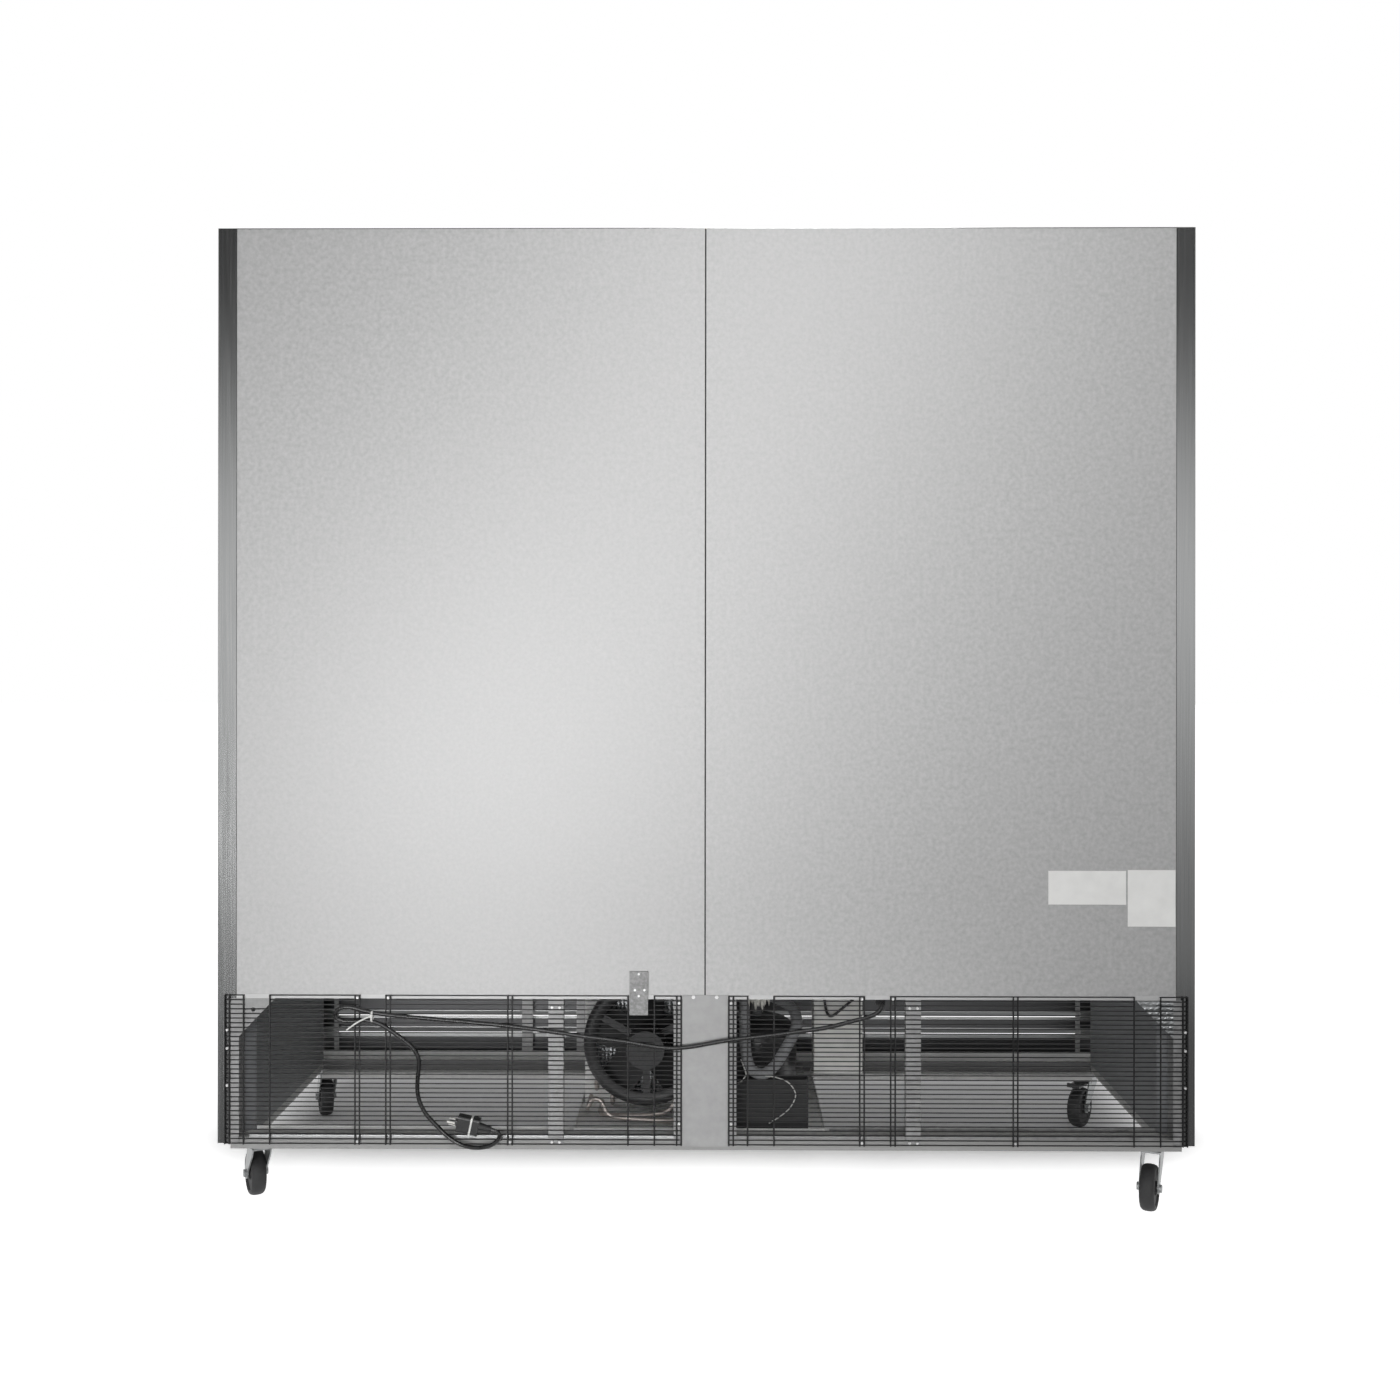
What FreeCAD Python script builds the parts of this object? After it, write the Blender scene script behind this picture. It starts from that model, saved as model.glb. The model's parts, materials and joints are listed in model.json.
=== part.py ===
import FreeCAD, Part
import math
import os
import Sketcher

# Three-door reach-in freezer with its condensing unit in an open bay under the cabinet.
# Millimetres. +Z is up from the floor, the doors face -Y, and +X is on the right of someone facing them.

SIZES = {
    # Cabinet shell
    "width": 2057.0,
    "height": 2082.0,
    "cabinet_depth": 750.0,
    "cabinet_floor": 458.0,
    "wall": 62.0,
    "skin": 1.2,
    "back_skin": 1.0,
    "liner_skin": 1.0,
    "side_bottom": 152.0,
    "return_flange": 39.0,
    "panel_gap": 0.6,
    "seam": 3.0,
    "hem_height": 9.0,
    "hem_thick": 1.0,
    "frame_depth": 20.0,
    "mullion": 70.0,
    # Base frame
    "rail_bottom": 140.0,
    "rail_height": 24.0,
    "rail_width": 58.0,
    "front_rail_width": 105.0,
    "rail_end_gap": 26.5,
    "rail_skin": 2.0,
    "rail_setback": 2.0,
    "front_rail_setback": 5.0,
    "side_space": 64.5,
    "inner_side_bottom": 160.0,
    "runner_width": 30.0,
    "runner_height": 14.0,
    "runner_right": 250.0,
    "runner_left": -226.0,
    # Posts, struts and plates round the rear opening
    "post_skin": 1.0,
    "strip_inset": 27.5,
    "strip_width": 18.0,
    "strip_bottom": 150.0,
    "post_leg": 40.0,
    "gusset_run": 76.0,
    "gusset_drop": 80.0,
    "gusset_hole": 9.0,
    "gusset_hole_inset": 30.0,
    "gusset_hole_drop": 24.0,
    "centre_post_width": 132.0,
    "centre_leg_gap": 60.0,
    "plate_width": 95.0,
    "plate_skin": 1.2,
    "plate_bottom": 148.0,
    "plate_top": 467.0,
    "strut_width": 32.0,
    "strut_web": 2.0,
    "strut_flange": 18.0,
    "strut_flange_skin": 1.5,
    "strut_right": 314.0,
    "strut_left": -438.0,
    "strut_bottom": 152.0,
    "strap_width": 28.0,
    "strap_skin": 2.0,
    "strap_outer": 462.0,
    "strap_inner": 321.0,
    "corner_strap_width": 12.0,
    "corner_strap_gap": 2.0,
    "hanger_width": 39.0,
    "hanger_centre": 139.5,
    "hanger_bottom": 425.0,
    "hanger_top": 517.0,
    "hanger_skin": 1.0,
    "hanger_joggle": 17.0,
    "hanger_clearance": 0.2,
    "rivet": 5.0,
    "rivet_head": 1.0,
    # Wire guards
    "row_wire": 2.2,
    "upright_wire": 3.0,
    "guard_rows": 33.0,
    "guard_top": 465.0,
    "guard_bottom": 152.5,
    "guard_inner": 50.0,
    "guard_margin": 16.5,
    "wire_pair": 9.5,
    "wire_overhang": 1.5,
    "notch_rows": 3.0,
    "notch_width": 55.5,
    "notch_first": 39.5,
    "notch_second": 284.5,
    "notch_third_inset": 112.0,
    "guard_middle": 597.0,
    "screw": 5.2,
    "screw_proud": 1.8,
    "plate_screw": 7.0,
    "plate_screw_spread": 49.0,
    "plate_screw_drop": 4.0,
    # Condensing unit
    "tray_right": 282.0,
    "tray_left": -258.0,
    "tray_depth": 500.0,
    "tray_setback": 62.0,
    "tray_skin": 1.2,
    "tray_lip": 14.0,
    "compressor_x": -115.0,
    "compressor_setback": 240.0,
    "compressor_dia": 180.0,
    "compressor_height": 200.0,
    "foot_plate": 170.0,
    "foot_plate_thick": 3.0,
    "grommet_dia": 22.0,
    "grommet_height": 12.0,
    "grommet_spread": 130.0,
    "unit_x": 132.0,
    "condenser_width": 288.0,
    "condenser_height": 288.0,
    "condenser_depth": 80.0,
    "condenser_setback": 292.0,
    "condenser_lift": 3.0,
    "fin_pitch": 9.0,
    "fin_slot": 5.0,
    "fin_slot_depth": 22.0,
    "end_plate": 2.0,
    "shroud_plate": 2.0,
    "cowl_dia": 276.0,
    "cowl_wall": 6.0,
    "cowl_length": 80.0,
    "fan_height": 316.0,
    "blade_dia": 250.0,
    "blade_count": 5.0,
    "blade_thick": 1.6,
    "blade_chord": 84.0,
    "blade_pitch_angle": 24.0,
    "fan_hub_dia": 52.0,
    "fan_hub_length": 30.0,
    "fan_hub_gap": 8.0,
    "motor_dia": 84.0,
    "motor_length": 78.0,
    "motor_shaft": 8.0,
    "motor_arm_width": 16.0,
    "motor_arm_thick": 4.0,
    "running_clearance": 0.05,
    "control_left": -347.0,
    "control_right": -245.0,
    "control_bottom": 253.0,
    "control_setback": 200.0,
    "control_depth": 120.0,
    "control_lid": 3.0,
    "pan_left": -223.0,
    "pan_right": -64.0,
    "pan_height": 108.0,
    "pan_depth": 40.0,
    "pan_setback": 92.0,
    "pan_wall": 3.0,
    "line_dia": 9.5,
    "suction_dia": 24.0,
    "bend_reach": 22.0,
    "bend_spread": 23.0,
    # Front grille
    "grille_bottom": 150.0,
    "apron_height": 18.0,
    "grille_depth": 20.0,
    "grille_skin": 1.2,
    "louvre_count": 5.0,
    "louvre_first": 210.0,
    "louvre_pitch": 44.5,
    "louvre_slot": 12.0,
    "louvre_inset": 60.0,
    "louvre_reach": 10.0,
    "louvre_drop": 12.0,
    # Casters
    "caster_inset": 62.5,
    "caster_rear_setback": 92.0,
    "caster_front_setback": 692.0,
    "caster_plate_width": 74.0,
    "caster_plate_length": 96.0,
    "caster_plate_thick": 4.0,
    "caster_cup_dia": 60.0,
    "caster_cup_height": 16.0,
    "caster_gap": 0.3,
    "king_pin_dia": 12.0,
    "king_head_dia": 20.0,
    "king_head_height": 2.7,
    "crown_thick": 3.7,
    "crown_length": 56.0,
    "fork_leg": 3.0,
    "wheel_gap": 2.0,
    "trail": 45.0,
    "wheel_dia": 98.0,
    "wheel_width": 32.0,
    "wheel_round": 5.0,
    "wheel_dish": 4.0,
    "wheel_rim": 11.0,
    "wheel_hub_dia": 30.0,
    "axle_dia": 10.0,
    "axle_head_dia": 17.0,
    "axle_head": 5.0,
    "axle_boss": 13.0,
    "heading_rear_right": 207.0,
    "heading_rear_left": -24.0,
    "heading_front_right": 200.0,
    "heading_front_left": -35.0,
    "pedal_width": 33.0,
    "pedal_length": 66.0,
    "pedal_thick": 4.0,
    "pedal_pin_dia": 6.0,
    "pedal_pivot": 20.0,
    "pedal_drop": 9.0,
    # Doors
    "seal_gap": 14.0,
    "door_thick": 57.0,
    "door_gap": 6.0,
    "door_margin": 2.0,
    "door_sill_gap": 12.0,
    "door_head_gap": 28.0,
    "door_skin": 1.0,
    "plug_inset": 35.0,
    "plug_thick": 8.0,
    "gasket_inset": 15.0,
    "gasket_width": 16.0,
    "pull_width": 40.0,
    "pull_height": 320.0,
    "pull_depth": 26.0,
    "pull_inset": 26.0,
    "pull_middle": 1180.0,
    "hinge_pin_dia": 8.0,
    "hinge_pin_length": 24.0,
    "hinge_inset": 14.0,
    "hinge_setback": 12.0,
    "hinge_gap": 3.0,
    "hinge_plate": 5.0,
    "hinge_leg": 4.0,
    "hinge_leg_height": 22.0,
    "hinge_width": 42.0,
    # Inside
    "shelf_first": 870.0,
    "shelf_pitch": 330.0,
    "shelf_count": 3.0,
    "shelf_wire": 5.0,
    "shelf_bar": 7.0,
    "shelf_wire_count": 15.0,
    "shelf_side_gap": 28.0,
    "shelf_front_gap": 30.0,
    "shelf_rear_gap": 24.0,
    "support_width": 18.0,
    "support_thick": 9.0,
    "clip_height": 6.0,
    "clip_length": 32.0,
    "support_bottom_gap": 40.0,
    "support_top_gap": 220.0,
    "cooler_width": 900.0,
    "cooler_height": 190.0,
    "cooler_depth": 210.0,
    "cooler_skin": 1.5,
    "cooler_mouth": 174.0,
    "cooler_blade_dia": 158.0,
    "cooler_blade_chord": 42.0,
    "cooler_motor_dia": 60.0,
    "cooler_motor_length": 60.0,
    "cooler_arm_width": 14.0,
    # Cord and plug
    "cord_dia": 9.0,
    "gland_width": 20.0,
    "gland_height": 17.0,
    "gland_depth": 26.0,
    "gland_setback": 14.0,
    "plug_length": 46.0,
    "plug_height": 36.0,
    "plug_depth": 27.0,
    "plug_neck": 26.0,
    "prong_length": 18.0,
    "prong_width": 6.4,
    "prong_thick": 1.6,
    "prong_spread": 12.7,
}

doc = FreeCAD.newDocument("reach_in_freezer")
sheet = doc.addObject("Spreadsheet::Sheet", "dim")
for row, (alias, value) in enumerate(SIZES.items(), start=1):
    sheet.set(f"A{row}", alias)
    sheet.set(f"B{row}", str(value))
    sheet.setAlias(f"B{row}", alias)
doc.recompute()

# Places that many pieces share, as expressions of the sheet
HALF = "(dim.width / 2)"
GUARD = "(dim.post_skin + dim.row_wire + dim.upright_wire)"
BACK = f"((dim.cabinet_depth + dim.seal_gap + dim.door_thick - {GUARD}) / 2)"
FRONT = f"({BACK} - dim.cabinet_depth)"
DOOR_BACK = f"({FRONT} - dim.seal_gap)"
DOOR_FRONT = f"({DOOR_BACK} - dim.door_thick)"
FOAM_BACK = f"({BACK} - dim.skin - dim.back_skin)"
FOAM_FRONT = f"({FRONT} + dim.frame_depth)"
INNER = f"({HALF} - dim.wall)"
SILL = "(dim.cabinet_floor + dim.wall)"
CEILING = "(dim.height - dim.wall)"
REAR_WALL = f"({BACK} - dim.wall)"
SHELL_TOP = "(dim.height - dim.skin)"
RAIL_TOP = "(dim.rail_bottom + dim.rail_height)"
RAIL_BACK = f"({BACK} - dim.rail_setback)"
RAIL_FRONT = f"({RAIL_BACK} - dim.rail_width)"
FRONT_RAIL_FRONT = f"({FRONT} + dim.front_rail_setback)"
FRONT_RAIL_BACK = f"({FRONT_RAIL_FRONT} + dim.front_rail_width)"
DOOR_WIDTH = "((dim.width - 2 * dim.door_margin - 2 * dim.door_gap) / 3)"
DOOR_PITCH = f"({DOOR_WIDTH} + dim.door_gap)"
TRAY_FLOOR = "(dim.rail_bottom + dim.runner_height + dim.tray_skin)"
HEM_FACE = f"({BACK} - dim.skin + dim.hem_thick)"
RAIL_END = f"({HALF} - dim.rail_end_gap)"
INNER_SIDE = f"({HALF} - dim.side_space)"
STRIP_OUTER = f"({HALF} - dim.strip_inset)"
GUARD_OUTER = f"({HALF} - dim.guard_margin)"
GUARD_WIDTH = f"({GUARD_OUTER} - dim.guard_inner)"
CASTER_X = f"({HALF} - dim.caster_inset)"
DOOR_BOTTOM = "(dim.cabinet_floor + dim.door_sill_gap)"
DOOR_TOP = "(dim.height - dim.door_head_gap)"

nodes = []


def num(expression):
    """The value of an expression of the sheet."""
    return float(sheet.evalExpression(str(expression)))


def vec(x, y, z):
    return FreeCAD.Vector(num(x), num(y), num(z))


def node(piece, label):
    """Marks a finished piece as one of the object's named parts."""
    piece.Label = label
    nodes.append(piece)
    return piece


def block(name, x, y, z):
    """A rectangular block between two places on each axis."""
    solid = doc.addObject("Part::Box", name)
    for prop, axis, (low, high) in (("Length", "x", x), ("Width", "y", y), ("Height", "z", z)):
        solid.setExpression(prop, f"({high}) - ({low})")
        solid.setExpression(f"Placement.Base.{axis}", str(low))
    return solid


def rod(name, x, y, z, axis, radius, length):
    """A round bar that starts at a point and runs along one axis."""
    directions = {"x": FreeCAD.Vector(1, 0, 0), "y": FreeCAD.Vector(0, 1, 0), "z": FreeCAD.Vector(0, 0, 1)}
    solid = doc.addObject("Part::Cylinder", name)
    solid.Placement.Rotation = FreeCAD.Rotation(FreeCAD.Vector(0, 0, 1), directions[axis])
    solid.setExpression("Radius", radius)
    solid.setExpression("Height", length)
    for direction, place in (("x", x), ("y", y), ("z", z)):
        solid.setExpression(f"Placement.Base.{direction}", str(place))
    return solid


def cut(name, base, tool):
    solid = doc.addObject("Part::Cut", name)
    solid.Base = base
    solid.Tool = tool
    return solid


def fuse(name, pieces):
    solid = doc.addObject("Part::MultiFuse", name)
    solid.Shapes = pieces
    return solid


def group(name, pieces):
    solids = doc.addObject("Part::Compound", name)
    solids.Links = pieces
    return solids


def feature(name, shape):
    solid = doc.addObject("Part::Feature", name)
    solid.Shape = shape
    return solid


def new_body(name, **places):
    """An empty body; each place is the expression that one axis of its position follows."""
    body = doc.addObject("PartDesign::Body", name)
    for axis, place in places.items():
        body.setExpression(f"Placement.Base.{axis}", place)
    return body


def new_sketch(body, plane):
    sketch = body.newObject("Sketcher::SketchObject", f"{body.Name}_sketch")
    support = next(item for item in body.Origin.OriginFeatures if item.Role == plane)
    sketch.AttachmentSupport = [(support, "")]
    sketch.MapMode = "FlatFace"
    return sketch


def pin_point(sketch, edge, end, x, y):
    """Ties one point of a sketch to two expressions."""
    for kind, place in (("DistanceX", x), ("DistanceY", y)):
        index = sketch.addConstraint(Sketcher.Constraint(kind, -1, 1, edge, end, num(place)))
        sketch.setExpression(f"Constraints[{index}]", str(place))


def outline(body, plane, points):
    """A closed outline of straight edges whose corners are expressions."""
    sketch = new_sketch(body, plane)
    corners = [vec(x, y, 0) for x, y in points]
    for start, end in zip(corners, corners[1:] + corners[:1]):
        sketch.addGeometry(Part.LineSegment(start, end), False)
    for edge in range(len(points)):
        sketch.addConstraint(Sketcher.Constraint("Coincident", edge, 2, (edge + 1) % len(points), 1))
    for edge, (x, y) in enumerate(points):
        pin_point(sketch, edge, 1, x, y)
    return sketch


def circle(body, plane, x, y, radius):
    sketch = new_sketch(body, plane)
    sketch.addGeometry(Part.Circle(vec(x, y, 0), FreeCAD.Vector(0, 0, 1), num(radius)), False)
    pin_point(sketch, 0, 3, x, y)
    index = sketch.addConstraint(Sketcher.Constraint("Radius", 0, num(radius)))
    sketch.setExpression(f"Constraints[{index}]", radius)
    return sketch


def pad(body, sketch, length, midplane=False):
    solid = body.newObject("PartDesign::Pad", f"{body.Name}_pad")
    solid.Profile = sketch
    solid.Midplane = midplane
    solid.setExpression("Length", length)
    return solid


def pocket(body, sketch, length, midplane=False, reverse=False):
    solid = body.newObject("PartDesign::Pocket", f"{body.Name}_pocket")
    solid.Profile = sketch
    solid.Midplane = midplane
    solid.Reversed = reverse
    solid.setExpression("Length", length)
    return solid


def turn(body, sketch):
    """A full turn of an outline about the sketch's upright axis."""
    solid = body.newObject("PartDesign::Revolution", f"{body.Name}_turn")
    solid.Profile = sketch
    solid.ReferenceAxis = (sketch, ["V_Axis"])
    solid.Angle = 360
    return solid


def mirror_x(sign, near, far):
    """A span on one side of the middle plane, in rising order."""
    return (near, far) if sign > 0 else (f"-({far})", f"-({near})")


def bar(start, end, across, turned=0):
    """A six-sided bar between two points, measured across its flats and turned about its length."""
    along = end - start
    corner = across / 2 / math.cos(math.radians(30))
    ring = [
        FreeCAD.Vector(corner * math.cos(math.radians(angle)), corner * math.sin(math.radians(angle)), 0)
        for angle in range(turned, turned + 361, 60)
    ]
    prism = Part.Face(Part.makePolygon(ring)).extrude(FreeCAD.Vector(0, 0, along.Length))
    prism.Placement = FreeCAD.Placement(start, FreeCAD.Rotation(FreeCAD.Vector(0, 0, 1), along))
    return prism


SIDES = (("right", 1), ("left", -1))


# Cabinet shell

def side_panel(side, sign):
    def inset(distance):
        return f"{sign} * ({HALF} - {distance})"
    body = new_body(f"side_panel_{side}", z="dim.side_bottom")
    corners = [
        (inset("0"), FRONT),
        (inset("0"), BACK),
        (inset("dim.return_flange"), BACK),
        (inset("dim.return_flange"), f"{BACK} - dim.skin"),
        (inset("dim.skin"), f"{BACK} - dim.skin"),
        (inset("dim.skin"), FRONT),
    ]
    pad(body, outline(body, "XY_Plane", corners), f"{SHELL_TOP} - dim.side_bottom")
    return node(body, f"side_panel_{side}")


def back_panel(side, sign):
    """A flat sheet with its lower edge folded outwards into a hem."""
    span = f"({HALF} - dim.return_flange - dim.panel_gap - dim.seam / 2)"
    start = "dim.seam / 2" if sign > 0 else f"-dim.seam / 2 - {span}"
    body = new_body(f"back_panel_{side}", x=start)
    corners = [
        (FOAM_BACK, "dim.cabinet_floor"),
        (FOAM_BACK, SHELL_TOP),
        (f"{BACK} - dim.skin", SHELL_TOP),
        (f"{BACK} - dim.skin", "dim.cabinet_floor + dim.hem_height"),
        (HEM_FACE, "dim.cabinet_floor + dim.hem_height"),
        (HEM_FACE, "dim.cabinet_floor"),
    ]
    pad(body, outline(body, "YZ_Plane", corners), span)
    return node(body, f"back_panel_{side}")


def cabinet():
    for side, sign in SIDES:
        side_panel(side, sign)
        back_panel(side, sign)
    across = (f"-{HALF}", HALF)
    between = (f"-{HALF} + dim.skin", f"{HALF} - dim.skin")
    node(block("top", across, (FRONT, BACK), (SHELL_TOP, "dim.height")), "top_panel")
    foam_floor = "dim.cabinet_floor + dim.skin"
    depth = (FOAM_FRONT, FOAM_BACK)
    node(block("bottom", between, depth, ("dim.cabinet_floor", foam_floor)), "bottom_panel")

    foam = block("foam", between, depth, (foam_floor, SHELL_TOP))
    hollow = block("hollow", (f"-{INNER}", INNER), (FOAM_FRONT, REAR_WALL), (SILL, CEILING))
    node(cut("foam_shell", foam, hollow), "insulation")

    lining = block("lining", (f"-{INNER}", INNER), (FOAM_FRONT, REAR_WALL), (SILL, CEILING))
    room = block(
        "room",
        (f"-{INNER} + dim.liner_skin", f"{INNER} - dim.liner_skin"),
        (FOAM_FRONT, f"{REAR_WALL} - dim.liner_skin"),
        (f"{SILL} + dim.liner_skin", f"{CEILING} - dim.liner_skin"),
    )
    node(cut("liner_shell", lining, room), "liner")

    front = block("face_sheet", between, (FRONT, FOAM_FRONT), ("dim.cabinet_floor", SHELL_TOP))
    post = f"{DOOR_PITCH} / 2"
    bays = [
        (f"-{INNER}", f"-{post} - dim.mullion / 2"),
        (f"-{post} + dim.mullion / 2", f"{post} - dim.mullion / 2"),
        (f"{post} + dim.mullion / 2", INNER),
    ]
    doorways = [
        block(f"doorway_{index}", bay, (FRONT, FOAM_FRONT), (SILL, CEILING)) for index, bay in enumerate(bays)
    ]
    ring = cut("face_ring", front, group("doorways", doorways))
    drop = ("dim.cabinet_floor - dim.apron_height", "dim.cabinet_floor")
    apron = block("apron", between, (FRONT, f"{FRONT} + dim.skin"), drop)
    node(fuse("face", [ring, apron]), "face_frame")


# Base frame and the rear of the machine bay

def channel(name, x, y, z, along):
    """A channel open upwards whose walls run along one axis."""
    outer = block(f"{name}_outer", x, y, z)
    inset = {"x": (x, (f"{y[0]} + dim.rail_skin", f"{y[1]} - dim.rail_skin")),
             "y": ((f"{x[0]} + dim.rail_skin", f"{x[1]} - dim.rail_skin"), y)}[along]
    inner = block(f"{name}_inner", inset[0], inset[1], (f"{z[0]} + dim.rail_skin", z[1]))
    return cut(name, outer, inner)


def base_frame():
    heights = ("dim.rail_bottom", RAIL_TOP)
    across = (f"-{RAIL_END}", RAIL_END)
    members = [
        channel("rear_rail", across, (RAIL_FRONT, RAIL_BACK), heights, "x"),
        channel("front_rail", across, (FRONT_RAIL_FRONT, FRONT_RAIL_BACK), heights, "x"),
    ]
    for side, sign in SIDES:
        span = mirror_x(sign, f"{INNER_SIDE} + dim.skin", f"{HALF} - dim.skin")
        members.append(channel(f"side_rail_{side}", span, (FRONT_RAIL_BACK, RAIL_FRONT), heights, "y"))
        place = f"dim.runner_{side}"
        span = (f"{place} - dim.runner_width / 2", f"{place} + dim.runner_width / 2")
        rise = ("dim.rail_bottom", "dim.rail_bottom + dim.runner_height")
        members.append(block(f"runner_{side}_bar", span, (FRONT_RAIL_BACK, RAIL_FRONT), rise))
    node(fuse("base", members), "base_frame")


def inner_sides():
    panels = []
    for side, sign in SIDES:
        span = mirror_x(sign, INNER_SIDE, f"{INNER_SIDE} + dim.skin")
        heights = ("dim.inner_side_bottom", "dim.cabinet_floor")
        panels.append(block(f"inner_side_{side}", span, (FRONT_RAIL_BACK, RAIL_FRONT), heights))
    node(group("inner_side_pair", panels), "inner_sides")


def corner_post(side, sign):
    """A strip behind the guard's end, a leg that stands on the rail and a gusset under the cabinet."""
    inner = f"({STRIP_OUTER} - dim.strip_width)"
    strip = block(
        f"strip_{side}",
        mirror_x(sign, inner, STRIP_OUTER),
        (BACK, f"{BACK} + dim.post_skin"),
        ("dim.strip_bottom", "dim.cabinet_floor"),
    )
    leg = block(
        f"leg_{side}",
        mirror_x(sign, inner, f"{inner} + dim.post_skin"),
        (f"{BACK} - dim.post_leg", BACK),
        (RAIL_TOP, "dim.cabinet_floor"),
    )
    gusset = new_body(f"gusset_{side}", y=BACK)
    corners = [
        (f"{sign} * {inner}", "dim.cabinet_floor"),
        (f"{sign} * ({inner} - dim.gusset_run)", "dim.cabinet_floor"),
        (f"{sign} * {inner}", "dim.cabinet_floor - dim.gusset_drop"),
    ]
    pad(gusset, outline(gusset, "XZ_Plane", corners), "dim.post_skin")
    hole = circle(
        gusset,
        "XZ_Plane",
        f"{sign} * ({inner} - dim.gusset_hole_inset)",
        "dim.cabinet_floor - dim.gusset_hole_drop",
        "dim.gusset_hole / 2",
    )
    pocket(gusset, hole, "4 * dim.post_skin", midplane=True)
    return fuse(f"corner_post_{side}", [strip, leg, gusset])


def rear_posts():
    node(group("corner_post_pair", [corner_post(side, sign) for side, sign in SIDES]), "corner_posts")
    face = block(
        "centre_face",
        ("-dim.centre_post_width / 2", "dim.centre_post_width / 2"),
        (BACK, f"{BACK} + dim.post_skin"),
        ("dim.strip_bottom", "dim.cabinet_floor"),
    )
    legs = [
        block(
            f"centre_leg_{side}",
            mirror_x(sign, "dim.centre_leg_gap / 2", "dim.centre_leg_gap / 2 + dim.post_skin"),
            (f"{BACK} - dim.post_leg", BACK),
            (RAIL_TOP, "dim.cabinet_floor"),
        )
        for side, sign in SIDES
    ]
    node(fuse("centre_channel", [face] + legs), "centre_post")
    outside = f"{BACK} + dim.post_skin"
    node(
        block(
            "cover",
            ("-dim.plate_width / 2", "dim.plate_width / 2"),
            (outside, f"{outside} + dim.plate_skin"),
            ("dim.plate_bottom", "dim.plate_top"),
        ),
        "centre_plate",
    )


def strut(side):
    """An upright channel whose web laps the rear rail and whose flanges stand on it."""
    place = f"dim.strut_{side}"
    low, high = f"{place} - dim.strut_width / 2", f"{place} + dim.strut_width / 2"
    web_front = f"{BACK} - dim.strut_web"
    lap = ("dim.strut_bottom", "dim.cabinet_floor")
    web = block(f"strut_{side}_web", (low, high), (web_front, BACK), lap)
    depth = (f"{web_front} - dim.strut_flange", web_front)
    rise = (RAIL_TOP, "dim.cabinet_floor")
    edges = [
        block(f"strut_{side}_low", (low, f"{low} + dim.strut_flange_skin"), depth, rise),
        block(f"strut_{side}_high", (f"{high} - dim.strut_flange_skin", high), depth, rise),
    ]
    return fuse(f"strut_{side}_channel", [web] + edges)


def strap(name, place, width):
    """A flat upright that stands on the front rail's front wall."""
    return block(
        f"{name}_bar",
        (f"{place} - {width} / 2", f"{place} + {width} / 2"),
        (FRONT_RAIL_FRONT, f"{FRONT_RAIL_FRONT} + dim.strap_skin"),
        (RAIL_TOP, "dim.cabinet_floor"),
    )


def hanger():
    """A riveted strip on the back panel's hem whose foot steps out over the guard's wires in a notch."""
    seat = f"{BACK} + dim.post_skin + dim.row_wire + dim.hanger_clearance"
    face = f"{seat} + dim.hanger_skin"
    span = ("dim.hanger_centre - dim.hanger_width / 2", "dim.hanger_centre + dim.hanger_width / 2")
    joggle = "dim.hanger_bottom + dim.hanger_joggle"
    pieces = [
        block("hanger_bar", span, (HEM_FACE, face), (joggle, "dim.hanger_top")),
        block("hanger_foot", span, (seat, face), ("dim.hanger_bottom", joggle)),
    ]
    places = [("0", "5.5"), ("8", "39"), ("-12", "39"), ("0", "51.5")]
    for index, (aside, drop) in enumerate(places):
        middle = f"dim.hanger_centre + {aside}"
        height = f"dim.hanger_top - {drop}"
        pieces.append(rod(f"rivet_{index}", middle, face, height, "y", "dim.rivet / 2", "dim.rivet_head"))
    node(fuse("hanger_riveted", pieces), "hanger_strip")


# Wire guards

def guard_uprights():
    """Places of a guard's uprights, measured from the end that stands further towards +X."""
    pair = num("dim.wire_pair")
    notch = num("dim.notch_width")
    middle, width = num("dim.guard_middle"), num(GUARD_WIDTH)
    first, second, third = num("dim.notch_first"), num("dim.notch_second"), width - num("dim.notch_third_inset")
    return [
        0, pair,
        first, first + notch,
        second - pair, second, second + notch, second + notch + pair,
        middle, middle + pair,
        third, third + notch,
        width - pair, width,
    ]


def guard_row_height(place):
    """Height of a guard's row, counted from the top one."""
    step = (num("dim.guard_top") - num("dim.guard_bottom")) / (num("dim.guard_rows") - 1)
    return num("dim.guard_top") - place * step


def guard(side):
    """Straight rows with welded uprights outside them and three notches in the upper edge."""
    start = num(GUARD_OUTER) if side == "right" else -num("dim.guard_inner")
    over = num("dim.wire_overhang")
    width, notch = num(GUARD_WIDTH), num("dim.notch_width")
    row_y = num(f"{BACK} + dim.post_skin + dim.row_wire / 2")
    upright_y = num(f"{BACK} + dim.post_skin + dim.row_wire + dim.upright_wire / 2")
    notches = [num("dim.notch_first"), num("dim.notch_second"), width - num("dim.notch_third_inset")]
    opened = list(zip([0] + [place + notch for place in notches], notches + [width]))
    wires = []
    for row in range(round(num("dim.guard_rows"))):
        spans = opened if row < num("dim.notch_rows") else [(0, width)]
        for low, high in spans:
            left = FreeCAD.Vector(start - high - over, row_y, guard_row_height(row))
            right = FreeCAD.Vector(start - low + over, row_y, guard_row_height(row))
            wires.append(bar(left, right, num("dim.row_wire")))
    for place in guard_uprights():
        foot = FreeCAD.Vector(start - place, upright_y, num("dim.guard_bottom") - over)
        top = FreeCAD.Vector(start - place, upright_y, num("dim.guard_top") + over)
        wires.append(bar(foot, top, num("dim.upright_wire")))
    node(feature(f"guard_{side}_wires", Part.makeCompound(wires)), f"guard_{side}")


PLATE_SCREW_HEIGHT = "(dim.plate_top - dim.plate_screw_drop)"


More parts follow.
